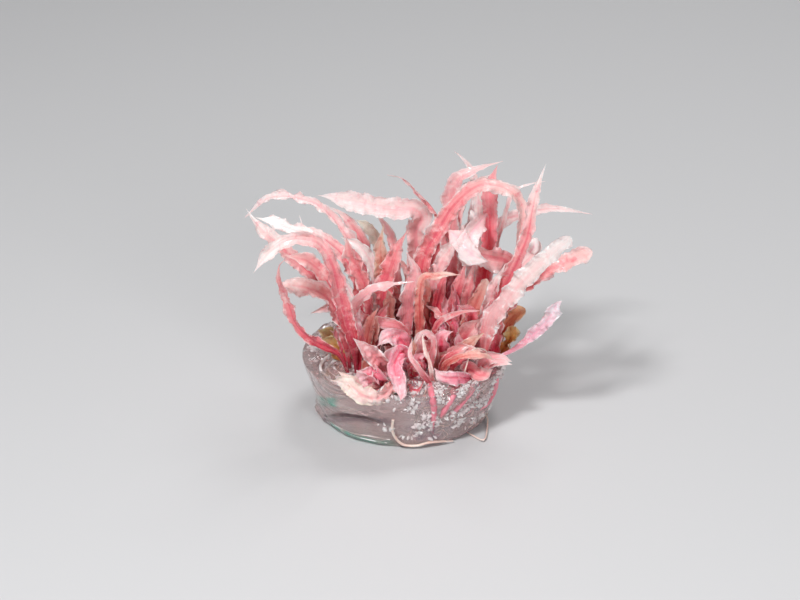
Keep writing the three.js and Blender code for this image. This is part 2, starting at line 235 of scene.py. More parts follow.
# Wet leaf tissue. Stops run from foot to tip; margin, rib and blotch are the colours that break them.
leafTones = {
    "pink": {
        "slot": "leaf_pink",
        "stops": [(0.0, (0.34, 0.025, 0.05)), (0.18, (0.6, 0.09, 0.12)), (0.4, (0.77, 0.25, 0.27)),
                  (0.72, (0.84, 0.36, 0.37)), (1.0, (0.92, 0.6, 0.58))],
        "margin": (0.95, 0.74, 0.71), "rib": (0.68, 0.13, 0.18),
        "blotch": (0.95, 0.76, 0.74), "blotches": 0.6,
    },
    "magenta": {
        "slot": "leaf_pink",
        "stops": [(0.0, (0.72, 0.12, 0.17)), (0.3, (0.82, 0.22, 0.29)), (0.65, (0.87, 0.34, 0.41)),
                  (1.0, (0.94, 0.62, 0.64))],
        "margin": (0.96, 0.8, 0.8), "rib": (0.72, 0.09, 0.15), "blotch": (0.95, 0.74, 0.76), "blotches": 0.6,
    },
    "fading": {
        "slot": "leaf_pink",
        "stops": [(0.0, (0.34, 0.025, 0.05)), (0.2, (0.58, 0.09, 0.12)), (0.42, (0.78, 0.27, 0.29)),
                  (0.65, (0.85, 0.42, 0.43)), (0.85, (0.94, 0.74, 0.72)), (1.0, (0.97, 0.89, 0.87))],
        "margin": (0.95, 0.74, 0.71), "rib": (0.68, 0.13, 0.18),
        "blotch": (0.95, 0.74, 0.72), "blotches": 0.5,
    },
    "white": {
        "slot": "leaf_pale",
        "stops": [(0.0, (0.68, 0.22, 0.25)), (0.2, (0.8, 0.37, 0.39)), (0.5, (0.88, 0.56, 0.56)),
                  (1.0, (0.93, 0.74, 0.73))],
        "margin": (0.96, 0.86, 0.84), "rib": (0.8, 0.34, 0.38),
        "blotch": (0.97, 0.84, 0.82), "blotches": 0.55,
    },
    "hot": {
        "slot": "leaf_pink",
        "stops": [(0.0, (0.72, 0.1, 0.14)), (0.3, (0.86, 0.2, 0.25)), (0.65, (0.9, 0.29, 0.33)),
                  (1.0, (0.94, 0.5, 0.51))],
        "margin": (0.97, 0.66, 0.64), "rib": (0.78, 0.1, 0.15), "blotch": (0.95, 0.54, 0.54), "blotches": 0.5,
    },
    # Sheet's rib colour is a slight lilac: painted shade along the draped folds
    "sheet": {
        "slot": "leaf_pale",
        "stops": [(0.0, (0.9, 0.5, 0.51)), (0.4, (0.93, 0.64, 0.64)), (1.0, (0.94, 0.75, 0.74))],
        "margin": (0.96, 0.82, 0.8), "rib": (0.9, 0.52, 0.58), "blotch": (0.97, 0.92, 0.91), "blotches": 0.5,
    },
    "ghost": {
        "slot": "leaf_tan",
        "stops": [(0.0, (0.6, 0.2, 0.2)), (0.35, (0.7, 0.44, 0.4)), (0.65, (0.66, 0.57, 0.49)),
                  (1.0, (0.7, 0.66, 0.57))],
        "margin": (0.88, 0.82, 0.74), "rib": (0.56, 0.42, 0.36), "blotch": (0.85, 0.8, 0.74), "blotches": 0.5,
    },
    "cream": {
        "slot": "leaf_pale",
        "stops": [(0.0, (0.84, 0.36, 0.38)), (0.4, (0.9, 0.55, 0.54)), (1.0, (0.95, 0.78, 0.72))],
        "margin": (0.93, 0.82, 0.66), "rib": (0.85, 0.4, 0.42), "blotch": (0.97, 0.88, 0.85), "blotches": 0.6,
    },
    # Snow: whitish all along, partly the leaves' own pale colour and partly painted light that lifts the
    # shade falling on them
    "snow": {
        "slot": "leaf_pale",
        "stops": [(0.0, (0.94, 0.74, 0.73)), (1.0, (0.96, 0.85, 0.83))],
        "margin": (0.97, 0.9, 0.88), "rib": (0.88, 0.45, 0.52), "blotch": (0.97, 0.92, 0.91), "blotches": 0.5,
    },
    "bleached": {
        "slot": "leaf_pale",
        "stops": [(0.0, (0.7, 0.2, 0.22)), (0.25, (0.82, 0.42, 0.43)), (0.5, (0.84, 0.62, 0.61)),
                  (1.0, (0.86, 0.77, 0.75))],
        "margin": (0.93, 0.86, 0.83), "rib": (0.8, 0.48, 0.49),
        "blotch": (0.97, 0.95, 0.93), "blotches": 0.85,
        "wet": 0.8,
    },
    "salmon": {
        "slot": "leaf_tan",
        "stops": [(0.0, (0.4, 0.05, 0.06)), (0.2, (0.64, 0.15, 0.15)), (0.5, (0.78, 0.31, 0.28)),
                  (0.8, (0.83, 0.42, 0.38)), (1.0, (0.89, 0.6, 0.54))],
        "margin": (0.92, 0.66, 0.57), "rib": (0.6, 0.11, 0.12), "blotch": (0.93, 0.68, 0.6), "blotches": 0.45,
    },
    "deep": {
        "slot": "leaf_deep",
        "stops": [(0.0, (0.32, 0.02, 0.04)), (0.2, (0.54, 0.055, 0.085)), (0.5, (0.7, 0.14, 0.17)),
                  (0.8, (0.8, 0.27, 0.3)), (1.0, (0.88, 0.48, 0.48))],
        "margin": (0.88, 0.42, 0.43), "rib": (0.36, 0.02, 0.05),
        "blotch": (0.88, 0.48, 0.48), "blotches": 0.3,
    },
    "pale": {
        "slot": "leaf_pale",
        "stops": [(0.0, (0.5, 0.07, 0.1)), (0.15, (0.7, 0.2, 0.23)), (0.35, (0.82, 0.34, 0.36)),
                  (0.7, (0.88, 0.5, 0.51)), (1.0, (0.94, 0.72, 0.7))],
        "margin": (0.96, 0.88, 0.85), "rib": (0.8, 0.34, 0.38), "blotch": (0.97, 0.92, 0.9), "blotches": 0.5,
    },
    "tan": {
        "slot": "leaf_tan",
        "stops": [(0.0, (0.42, 0.06, 0.07)), (0.2, (0.64, 0.17, 0.16)), (0.5, (0.73, 0.37, 0.33)),
                  (0.8, (0.71, 0.48, 0.41)), (1.0, (0.74, 0.59, 0.49))],
        "margin": (0.88, 0.66, 0.58), "rib": (0.58, 0.14, 0.11), "blotch": (0.84, 0.66, 0.5), "blotches": 0.5,
    },
    "rust": {
        "slot": "leaf_tan",
        "stops": [(0.0, (0.42, 0.06, 0.07)), (0.25, (0.66, 0.19, 0.15)), (0.65, (0.74, 0.3, 0.2)),
                  (1.0, (0.72, 0.42, 0.26))],
        "margin": (0.84, 0.6, 0.42), "rib": (0.5, 0.12, 0.09), "blotch": (0.8, 0.5, 0.38), "blotches": 0.6,
        "wet": 0.7,
    },
    "lilac": {
        "slot": "leaf_pale",
        "stops": [(0.0, (0.62, 0.16, 0.22)), (0.3, (0.82, 0.36, 0.42)), (0.7, (0.86, 0.52, 0.59)),
                  (1.0, (0.9, 0.68, 0.73))],
        "margin": (0.96, 0.88, 0.9), "rib": (0.76, 0.3, 0.42), "blotch": (0.97, 0.9, 0.94), "blotches": 0.7,
        "wet": 0.7,
    },
    "brown": {
        "slot": "leaf_brown",
        "stops": [(0.0, (0.4, 0.1, 0.06)), (0.25, (0.58, 0.24, 0.12)), (0.6, (0.62, 0.34, 0.13)),
                  (1.0, (0.5, 0.38, 0.22))],
        "margin": (0.66, 0.5, 0.3), "rib": (0.4, 0.12, 0.05), "blotch": (0.42, 0.3, 0.16), "blotches": 0.7,
    },
}


def leafMaterial(name, tone):
    material, graph, shader = newMaterial(name)
    along, across, seed = (graph.attribute(label) for label in ("along", "across", "leafSeed"))
    place = graph.node("ShaderNodeTexCoord", output="Object")
    side = graph.maths("ABSOLUTE", across)
    # The colour bands drift from leaf to leaf and over each leaf
    drift = graph.cloud(graph.vector(along * 3.2, across * 0.9, seed * 7.7), detail=3)
    shift = (drift - 0.5) * 0.42 + (graph.maths("FRACT", seed * 3.71) - 0.5) * 0.24
    level = graph.maths("MINIMUM", graph.maths("MAXIMUM", along + shift, 0.0), 1.0)
    colour = graph.node("ShaderNodeValToRGB", {"stops": tone["stops"]}, {0: level})
    # Long parallel veins with a strong middle rib that fades towards the tip
    veins = graph.cloud(graph.vector(along * 2.4, across * 9, seed * 5.1), detail=3, roughness=0.6)
    colour = graph.colour(graph.smooth(veins, 0.42, 0.78) * 0.28, colour, tone["margin"])
    colour = graph.colour(graph.smooth(veins, 0.55, 0.25) * 0.2, colour, tone["rib"])
    rib = graph.smooth(side + (drift - 0.5) * 0.16, 0.3, 0.02) * graph.smooth(along, 0.98, 0.45, 0.1, 0.6)
    colour = graph.colour(rib, colour, tone["rib"])
    # Pale margins, partly the leaf's own pale rim and partly a painted highlight along its edge, and pale,
    # water-soaked patches
    fray = graph.cloud(graph.vector(along * 26, across * 3, seed * 9.3), detail=3, roughness=0.65)
    paleRimAndHighlight = graph.smooth(side + (fray - 0.5) * 0.6, 0.78, 0.98) * graph.smooth(drift, 0.4, 0.56, 0.35, 1.0)
    colour = graph.colour(paleRimAndHighlight * graph.smooth(along, 0.05, 0.35, 0.25, 0.9), colour, tone["margin"])
    patch = graph.cloud(place, scale=190, detail=5, roughness=0.65)
    colour = graph.colour(graph.smooth(patch, 0.53, 0.68) * tone["blotches"], colour, tone["blotch"])
    crease = graph.cloud(place, scale=330, detail=4, roughness=0.6)
    colour = graph.colour(graph.smooth(crease, 0.46, 0.3) * 0.45, colour, tone["rib"])
    colour = graph.node("ShaderNodeHueSaturation", {}, {"Saturation": 1.12, "Value": 1.04, "Color": colour})
    wet = graph.cloud(place, scale=420)
    # Veins, rib and tiny blisters as relief
    relief = veins * 0.6 + graph.cloud(place, scale=900, detail=3) * 0.5 + rib * 0.4
    graph.fill(shader, {
        "Base Color": colour,
        "Roughness": graph.smooth(wet, 0.3, 0.7, 0.2, 0.42),
        "Normal": graph.bump(relief, 0.6, 0.0006),
        "Subsurface Weight": 0.4,
        "Subsurface Radius": (1.0, 0.4, 0.36),
        "Subsurface Scale": 0.001,
        "Coat Weight": tone.get("wet", 0.28),
        "Coat Roughness": 0.1,
        "Specular IOR Level": 0.35,
    })
    return material


materials = {key: leafMaterial("wetLeaf_" + key, tone) for key, tone in leafTones.items()}
makeCamera()
makeStudio()
print("camera, studio and leaf materials made")


# A leaf in millimetres: its tone and width, the foot [x, y] on the gel, then across and up in turn along the
# route on a plane that leans back by routeTilt, the depth at even steps from foot to tip, and the roll about
# its own length at foot and tip in degrees. Crimp is the waviness of the margins, crinkle the blade's relief,
# pitch the length of a wave, close where the blade starts to narrow, taper how much it narrows before that.
def leaf(name, tone, width, foot, way, depth, roll, **more):
    route = list(zip(way[::2], way[1::2]))
    return {"name": name, "tone": tone, "width": width, "foot": foot, "route": route, "depth": depth,
            "roll": roll, **more}


leaves = {
    "seatHeight": 20.4,
    "routeTilt": 25,
    "petiole": 1.3,
    "thickness": 0.42,
    "usualWidth": 5,
    "sides": 26,
    "rowsPerMillimetre": 2.6,
    "fewestRows": 50,
    "mostRows": 260,
    "seedShift": 0.37,
    "usual": {"tip": 0.35, "blade": 0.1, "crimp": 1.25, "crinkle": 0.42, "trough": 0.24, "pitch": 3.6,
              "twist": 2.2, "taper": 0.0, "close": 0.72},
}

leafRows = [
    # Left crown
    leaf("leaf_left_arch", "fading", 7, [-16.2, -15.5],
         [-17, 22, -19, 30, -21.5, 40, -23.5, 48, -28, 55, -36, 56, -43, 52, -48.5, 45.5],
         [-15.5, -24, -30, -33, -34], [0, -10], close=0.9, crimp=1.5, taper=0.5, twist=0.5),
    leaf("leaf_left_outer", "pink", 3.6, [-18.8, -14.5],
         [-22, 19, -29, 23, -35, 28, -38, 36, -40.5, 43, -40.5, 48, -38.5, 50], [-14.5, -19, -22, -25],
         [20, 40], crimp=1.6),
    leaf("leaf_left_ruffled", "pink", 5.2, [-18.4, -11],
         [-20, 26, -23, 34, -27, 38.5, -33, 41, -41.5, 42.2], [-11, -14, -16.5, -17.5], [-10, -15],
         close=0.9, crimp=2.6),
    leaf("leaf_left_pointed", "fading", 6.2, [-17.4, -7.3],
         [-19, 26, -23, 36, -29, 43.5, -36, 50, -43, 56, -49, 62, -52.5, 67], [-7.3, -6, -4, -1, 2],
         [0, -20], close=0.82, crimp=1.5, taper=0.25, twist=0.7),
    leaf("leaf_left_inner", "pink", 5, [-14.8, -10.6],
         [-16.5, 20, -19, 28, -22, 36, -26, 44, -32, 49.5, -39.5, 51.5], [-10.6, -11, -12, -13.5],
         [-10, -20], close=0.85),
    leaf("leaf_left_upper", "fading", 4.8, [-14.4, -1],
         [-14.6, 26, -14.8, 34, -17, 45, -22, 53, -29, 58, -38, 60.3, -45, 63, -50, 64.5], [-1, 2, 5, 7, 9],
         [-20, -30], close=0.9, crimp=1.9, twist=0.9),
    leaf("leaf_left_small", "pale", 3.6, [-16.8, 2], [-20, 31, -25, 34.5, -32, 32.3], [2, 3, 3, 2],
         [0, 20]),
    leaf("leaf_pink_tip", "pink", 5.2, [-11.2, -1.5], [-11.5, 28, -12, 38, -15, 46, -18, 53, -19.5, 58],
         [-1.5, -2.5, -4, -7], [10, 40], close=0.82),
    leaf("leaf_back_spike", "snow", 3.4, [-12.5, 8], [-15, 32, -20, 42, -28, 53, -34, 60, -36, 65.7],
         [8, 16, 22, 26], [0, 0], taper=0.4),
    leaf("leaf_left_decayed", "brown", 5.5, [-19.6, -3.5], [-21.5, 21, -25, 24.5, -29.5, 26.8],
         [-3.5, 0, 3], [0, 0], blade=0.25),
    # Back left
    leaf("leaf_back_left", "white", 3.9, [-9.8, 12],
         [-11, 32, -13, 42, -17, 53, -22, 61.5, -29, 68.5, -38, 71.7, -46, 71.8, -54.7, 65],
         [12, 18, 24, 28, 30], [-15, -30], close=0.74, crimp=1.7, tip=0.8),
    leaf("leaf_back_second", "fading", 3.8, [-7, 15.5],
         [-8.5, 32, -10, 42, -13, 53, -17, 61, -22, 66.5, -28, 69.5], [15.5, 24, 31, 36], [-25, 20],
         crimp=1.6),
    leaf("leaf_white_inner", "snow", 4, [-9, 8], [-9, 32, -10, 44, -12.5, 51.5, -16, 55.5, -21.5, 58],
         [8, 9, 9.5, 9], [10, 20], close=0.85),
    leaf("leaf_grey", "ghost", 4.6, [-4.5, 12], [-7, 45, -9, 57, -12.5, 62, -17, 64.3], [12, 17, 21, 24],
         [0, 30], close=0.88, twist=0.6),
    leaf("leaf_tan", "tan", 5, [-5.2, 6.5], [-7, 40, -8, 50, -8, 56, -7, 62], [6.5, 4, 2], [0, 20]),
    leaf("leaf_red_back", "pink", 5.6, [-7, 3], [-7, 38, -5, 47, -2.5, 54, 1, 60], [3, -1, -4], [10, 20],
         crimp=2.4),
    leaf("leaf_folded_white", "white", 7, [4.6, 10.5],
         [5, 42, 4, 54, 3.7, 60, 5.6, 64.5, 3, 67.2, -3, 67.4, -15, 69, -25, 71.3, -29, 71.6],
         [10.5, 13, 13, 9, 8], [0, 10], close=0.86, crimp=0.7, twist=1.0),
    # Centre
    leaf("leaf_loop", "pale", 4, [2.2, -5],
         [0.5, 25, -3, 28.5, -9, 29.7, -14.5, 31.5, -16, 35, -12, 39, -5, 41.7, 3, 43],
         [-5, -8, -9, -9.5, -10.5], [30, 30]),
    leaf("leaf_centre_pink", "pale", 5.2, [0, 0], [1, 30, 2, 40, 3.5, 46.5, 0.3, 53], [0, -3, -5], [0, 20]),
    leaf("leaf_yellow_tip", "salmon", 3.8, [4, -1.5], [5, 30, 5, 39, 6.5, 44, 12, 45, 18.5, 45.2],
         [-1.5, -6, -9], [10, 40], close=0.82, taper=0.25),
    leaf("leaf_salmon", "salmon", 4.6, [7.2, 3], [7, 28, 6, 36, 6.5, 42, 4, 47], [3, 2, 1], [0, 10]),
    leaf("leaf_thin_arch", "pink", 2.6, [13, 11], [14, 42, 14.5, 56, 10, 65.8, 4, 72.5, -1, 77, -6, 78.1],
         [11, 8, 6, 4], [70, 75]),
    leaf("leaf_big_arch", "pink", 8, [8.6, 8.5],
         [5.5, 36, 6, 50, 11, 60, 17, 69, 25, 74.5, 33, 73.3, 38, 68.5, 38.3, 61, 36.5, 54.5],
         [8.5, 5, 2, 0, -2, -4], [0, 20], close=0.95, crimp=1.9, taper=0.6, twist=1.0),
    leaf("leaf_behind_arch", "pink", 6, [9.6, 16], [7, 38, 7.5, 47, 12, 56, 18, 64, 20.5, 68.5],
         [16, 18, 19, 18], [-20, 20]),
    leaf("leaf_white_back", "white", 5, [12, 19.5], [10.5, 40, 11.5, 48, 15.5, 56, 21, 61.5, 26, 66],
         [19.5, 28, 33, 36], [-35, 20]),
    leaf("leaf_top_left", "pale", 6, [15.2, 15],
         [15.3, 44, 15.2, 60, 15.8, 70, 18, 77, 24, 80.5, 32.7, 83.2], [15, 15, 14, 15, 17], [0, 20],
         crimp=0.6),
    leaf("leaf_top_point", "white", 4.4, [17.6, 19.5],
         [19, 45, 22, 60, 24, 72, 23, 80, 19.5, 85, 16.3, 87.5], [19.5, 24, 28, 31], [40, 20], close=0.8,
         taper=0.4, twist=0.5),
    leaf("leaf_midrib", "hot", 5.6, [22.2, 13.5], [26, 42, 28, 54, 28.5, 64, 28.5, 72, 29, 77, 30.5, 81.5],
         [13.5, 10, 8, 8], [0, 10], close=0.85),
    leaf("leaf_beside_midrib", "snow", 4.6, [19.6, 17], [22, 42, 24, 58, 24.5, 68, 25, 74, 29, 79.3],
         [17, 16, 13, 11.5], [0, 20], close=0.85),
    leaf("leaf_thin_right", "white", 2, [25.6, 16.5], [29.5, 45, 33, 62, 37, 73.5, 42, 76, 47.5, 77],
         [16.5, 21, 24, 25], [0, 20]),
    leaf("leaf_far_right", "white", 6, [22.5, 21.5],
         [26, 42, 29, 56, 33, 63.5, 41, 66.5, 50, 68.2, 57, 67.6, 64.5, 66.3], [21.5, 29, 33, 34, 34],
         [35, 10], crimp=1.8, taper=0.55),
    # Right crown
    leaf("leaf_right_upright", "fading", 7, [27, -7.5],
         [28, 28, 32, 39, 37, 50, 40, 58, 41.3, 66, 43, 74, 45.3, 80.7], [-7.5, -10, -12, -13, -13],
         [10, 20], close=0.85, crimp=1.7, taper=0.62, twist=1.2),
    leaf("leaf_right_blunt", "bleached", 6.5, [25.6, -11.5], [28, 28, 34, 38, 41, 45.5, 47, 51.5, 53.2, 57],
         [-11.5, -17, -22, -26], [0, 10], tip=4.5),
    leaf("leaf_right_rounded", "pink", 5.6, [28.6, -4], [32, 32, 40, 41, 48, 47, 55, 49.7, 61.7, 53],
         [-4, -4, -4, -6], [0, 20], close=0.95, crimp=2.1, tip=4.2),
    leaf("leaf_right_orange", "rust", 4.6, [30, 1.5], [31, 24, 35, 30, 40.5, 34], [1.5, 3, 4], [0, 10],
         close=0.9, crimp=2.4, crinkle=1.3, tip=2),
    leaf("leaf_right_olive", "brown", 4.6, [31, -6.5], [32, 19, 35, 23, 37, 28], [-6.5, -6, -5], [10, 30],
         close=0.9, crimp=2.6, crinkle=1.4, tip=2),
    leaf("leaf_right_lilac", "lilac", 5, [29, -11], [31, 17.5, 36, 20.3, 42, 25, 46.5, 30, 51, 36.5],
         [-11, -12, -16, -20], [0, 20], blade=0.45, close=0.9, crimp=2.2, crinkle=1.2, pitch=5, taper=0.2,
         tip=1.4),
    leaf("leaf_right_curl", "white", 3.8, [27, 5.5],
         [29, 30, 33, 38, 38, 47, 42.3, 52, 43.6, 55.5, 41, 57.8], [5.5, 3, 1, 0, 0], [0, 20], close=0.9,
         tip=1.5),
    leaf("leaf_hanging_fold", "fading", 7.5, [25.4, 12.2],
         [30, 32, 34, 40, 36, 46.5, 33.5, 50, 29, 51, 24, 52.5, 20, 55, 17.5, 59], [12.2, 11, 8, 3, 0, -1],
         [0, 20], crimp=1.0),
    leaf("leaf_dark_inner", "deep", 4, [11.2, 1.2], [10.5, 32, 12, 40, 14, 47], [1.2, 0, -1], [20, 30]),
    leaf("leaf_ruffled_inner", "deep", 4.6, [14.6, 4.5], [16.5, 32, 18, 41, 20.5, 50], [4.5, 3, 2],
         [10, 20], crimp=2.0),
    leaf("leaf_round_tip", "salmon", 5, [19.6, 0], [21, 28, 23.5, 35, 25.5, 40, 27, 44], [0, -2, -3, -4],
         [0, 0], tip=3),
    leaf("leaf_front_arch", "pink", 2, [9.2, -6.5], [10.5, 28.5, 14, 31.3, 19, 32.9, 24.5, 33.4],
         [-6.5, -10, -14, -18], [0, 20]),
    leaf("leaf_broad_right", "pink", 6, [16, -7], [17, 19, 19.5, 24, 22.5, 28, 25.5, 31], [-7, -10, -14],
         [0, 10], crimp=1.8),
    # Front, low
    leaf("leaf_front_cream", "cream", 5.4, [-2.6, -25.5],
         [-4, 9.2, -6, 6.8, -9, 5, -14, 6, -19, 10, -24, 10.5], [-25.5, -33, -35.6, -34.4, -31.2, -27.6],
         [0, 0], crimp=2.4, crinkle=1.7, pitch=3.0, twist=2.0),
    leaf("leaf_front_magenta", "magenta", 7, [-7, -24], [-10, 11, -15, 14], [-24, -26.5, -28], [0, 20],
         blade=0.05, crimp=2.2, crinkle=1.8),
    leaf("leaf_front_white", "pale", 6, [-4.6, -18.5], [-8, 16, -13, 21, -17, 24.5], [-18.5, -24, -27],
         [10, 10], close=0.68, crimp=2.2, crinkle=1.6),
    leaf("leaf_front_saddle", "magenta", 6.5, [1.4, -9.5], [0, 21.5, -2.5, 24.5, -6, 24.8, -9.5, 21.5],
         [-9.5, -13, -15, -17], [0, 20], crimp=2.2, crinkle=1.7),
    leaf("leaf_front_hanging", "magenta", 5.2, [1.2, -13.5], [-1.5, 19.5, -3.5, 15, -1.5, 8, -1.5, 4],
         [-13.5, -23, -29, -34, -37.5], [0, 10], close=0.9, crimp=2.2, crinkle=1.7),
    leaf("leaf_front_curl", "pale", 2.2, [8, -16], [9, 19, 9, 24.5, 6, 26.3, 3.5, 23], [-16, -19, -20, -22],
         [10, 10]),
    leaf("leaf_front_strap", "pink", 3.8, [12, -11.5], [15, 18.5, 20, 20.5, 26, 20], [-11.5, -18, -20, -22],
         [0, 20], close=0.7, crimp=2.4, crinkle=1.2),
    leaf("leaf_front_boat", "magenta", 4.6, [23, -18.5], [18, 11.5, 12, 12, 9.5, 14.7],
         [-18.5, -26, -28, -27], [0, 10], blade=0.25, close=0.74, crimp=2.2, crinkle=1.5),
    leaf("leaf_front_right", "pale", 2.5, [24.6, -15.8], [30, 16, 35.5, 15.5], [-15.8, -17, -18], [0, 10]),
]


def placeOnPlane(across, up, depth):
    tilt = math.radians(leaves["routeTilt"])
    return Vector((across, depth, up / math.cos(tilt) - depth * math.tan(tilt)))


def spread(values, t):
    x = min(max(t, 0), 1) * (len(values) - 1)
    i = min(int(x), len(values) - 2)
    return values[i] + (values[i + 1] - values[i]) * (x - i)


def leafPoints(row):
    x, y = row["foot"]
    tilt = math.radians(leaves["routeTilt"])
    seat = leaves["seatHeight"]
    flat = [(x, (seat + y * math.tan(tilt)) * math.cos(tilt))] + row["route"]
    travelled = [0]
    for a, b in zip(flat, flat[1:]):
        travelled.append(travelled[-1] + math.dist(a, b))
    points = [Vector((x, y, seat))]
    for (across, up), way in zip(flat[1:], travelled[1:]):
        points.append(placeOnPlane(across, up, spread(row["depth"], way / travelled[-1])))
    return points


# A centripetal Catmull-Rom curve through the points, as a dense line
def smoothLine(points, steps=14):
    whole = [points[0] * 2 - points[1]] + list(points) + [points[-1] * 2 - points[-2]]
    line = []
    for p0, p1, p2, p3 in zip(whole, whole[1:], whole[2:], whole[3:]):
        d0, d1, d2 = (math.sqrt((a - b).length) for a, b in ((p1, p0), (p2, p1), (p3, p2)))
        m1 = ((p1 - p0) / d0 - (p2 - p0) / (d0 + d1) + (p2 - p1) / d1) * d1
        m2 = ((p2 - p1) / d1 - (p3 - p1) / (d1 + d2) + (p3 - p2) / d2) * d1
        for i in range(steps):
            t = i / steps
            line.append(p1 + m1 * t + (p2 * 3 - p1 * 3 - m1 * 2 - m2) * t ** 2
                        + (p1 * 2 - p2 * 2 + m1 + m2) * t ** 3)
    line.append(points[-1])
    return line


def lineObject(name, line):
    data = bpy.data.curves.new(name, "CURVE")
    data.dimensions = "3D"
    spline = data.splines.new("POLY")
    spline.points.add(len(line) - 1)
    for point, place in zip(spline.points, line):
        point.co = (*(place * mm), 1)
    return addObject(name, data)


# A tree that takes geometry, a material and inputs of the given names, and gives geometry
def newTree(name, floats, whole):
    tree = bpy.data.node_groups.new(name, "GeometryNodeTree")
    tree.interface.new_socket("Geometry", in_out="OUTPUT", socket_type="NodeSocketGeometry")
    inputs = {"Geometry": ["Geometry"], "Float": floats, "Int": whole, "Material": ["Material"]}
    for kind, labels in inputs.items():
        for label in labels:
            tree.interface.new_socket(label, in_out="INPUT", socket_type="NodeSocket" + kind)
    graph = Graph(tree)
    entry = tree.nodes.new("NodeGroupInput")
    named = {socket.name: Wire(graph, socket) for socket in entry.outputs if socket.name}
    return graph, named


def endTree(graph, geometry, material):
    real = graph.node("GeometryNodeRealizeInstances", {}, {0: geometry})
    done = graph.node("GeometryNodeSetMaterial", {}, {"Geometry": real, "Material": material})
    output = graph.tree.nodes.new("NodeGroupOutput")
    graph.tree.links.new(done.socket, output.inputs[0])
    return graph.tree


# Grows a blade round a path: a flat closed section, swept along the curve, that faces the open front
def leafTree():
    graph, given = newTree("leafBlade", [
        "Width", "Petiole", "Tip", "Blade Start", "Thickness", "Trough", "Roll Foot", "Roll Tip", "Crimp",
        "Crimp Pitch", "Crinkle", "Twist", "Taper", "Close", "Seed",
    ], ["Rows"])
    path = given["Geometry"]
    length = graph.node("GeometryNodeCurveLength", {}, {0: path})
    blank = graph.node("GeometryNodeMeshCylinder", {"fill_type": "NGON"},
                       {"Vertices": leaves["sides"], "Side Segments": given["Rows"],
                        "Radius": 1.0, "Depth": 1.0})
    across, face, upward = graph.split(graph.node("GeometryNodeInputPosition"))
    along = upward + 0.5
    centre = graph.node("GeometryNodeSampleCurve", {"mode": "FACTOR"}, {"Curves": path, "Factor": along},
                        output="Position")
    tangent = Wire(graph, centre.socket.node.outputs["Tangent"])
    tilt = math.radians(leaves["routeTilt"])
    front = graph.vector(0.0, -math.cos(tilt), math.sin(tilt))
    back = graph.scaled(tangent, graph.measure("DOT_PRODUCT", front, tangent))
    facing = graph.vectorMaths("NORMALIZE", graph.vectorMaths("SUBTRACT", front, back))
    side = graph.vectorMaths("CROSS_PRODUCT", tangent, facing)

    # Width: thin stalk, long blade, drawn-out tip, with uneven margins
    start = given["Blade Start"]
    way = along * length
    opened = graph.smooth(along, start * 0.4, start + 0.24)
    closed = graph.smooth(along, given["Close"], 1.0)
    broad = given["Width"] * (1.0 - given["Taper"] * along)
    ending = graph.maths("MAXIMUM", along * 25 - 24, 0.0)
    rounding = (1.0 - ending * ending * 0.96) ** 0.5
    width = graph.blend(closed, graph.blend(opened, given["Petiole"], broad), given["Tip"]) * rounding
    uneven = graph.cloud(graph.vector(way * 260, across * 0.6, given["Seed"] * 3.3)) - 0.5
    jag = graph.cloud(graph.vector(way * 1500, across * 0.6, given["Seed"] * 6.1), roughness=0.7) - 0.5
    slender = width / given["Width"]
    half = width * 0.5 * (uneven * opened * 1.05 + jag * opened * 0.34 + 1.0)

    # Relief: trough, crimped margins, crinkled blade and a rib
    reach = graph.maths("ABSOLUTE", across)
    reached = reach ** 2.6
    wave = graph.cloud(graph.vector(way / given["Crimp Pitch"], across * 0.8, given["Seed"] * 1.9),
                       roughness=0.4) - 0.5
    swell = graph.cloud(graph.vector(way * 60, across * 0.8, given["Seed"] * 5.3 + 20), detail=1) * 1.6 - 0.2
    crimp = wave * swell * given["Crimp"] * 11 * reached * opened * slender
    blister = graph.cloud(graph.vector(way * 340, across * 2.6, given["Seed"] * 2.7 + 9), roughness=0.6)
    crinkle = (blister - 0.5) * 2 * given["Crinkle"] * opened * slender * (1.0 - reached * 0.4)
    trough = given["Trough"] * width * reach ** 1.15 * opened
    thinned = given["Thickness"] * graph.smooth(reach, 1.0, 0.1, 0.2, 1.0)
    skin = graph.blend(opened, given["Petiole"] * 0.9, thinned)
    rib = graph.smooth(reach, 0.26, 0.0) * given["Thickness"] * 0.9 * opened * graph.smooth(along, 1.0, 0.5)
    under = graph.smooth(face, 0.0, -0.6)
    outward = face * skin * 0.5 * (1.0 - closed * 0.7) - rib * under + trough + crimp + crinkle
    sideways = across * half

    # Roll about the leaf's own length, with a slow twist
    turning = graph.cloud(graph.vector(way * 28, given["Seed"] * 4.1, 3.0), detail=0) - 0.5
    twist = turning * given["Twist"] * opened * (1.15 - along)
    roll = graph.blend(along, given["Roll Foot"], given["Roll Tip"]) + twist
    cosine = graph.maths("COSINE", roll)
    sine = graph.maths("SINE", roll)
    shiftSide = sideways * cosine - outward * sine
    shiftFace = sideways * sine + outward * cosine
    offset = graph.vectorMaths("ADD", graph.scaled(side, shiftSide), graph.scaled(facing, shiftFace))
    place = graph.vectorMaths("ADD", centre, offset)

    geometry = blank
    for label, value in (("along", along), ("across", across), ("leafSeed", given["Seed"])):
        geometry = graph.node("GeometryNodeStoreNamedAttribute", {"data_type": "FLOAT", "domain": "POINT"},
                              {"Geometry": geometry, "Name": label, "Value": value})
    geometry = graph.node("GeometryNodeSetPosition", {}, {"Geometry": geometry, "Position": place})
    geometry = graph.node("GeometryNodeSetShadeSmooth", {}, {"Geometry": geometry})
    return endTree(graph, geometry, given["Material"])


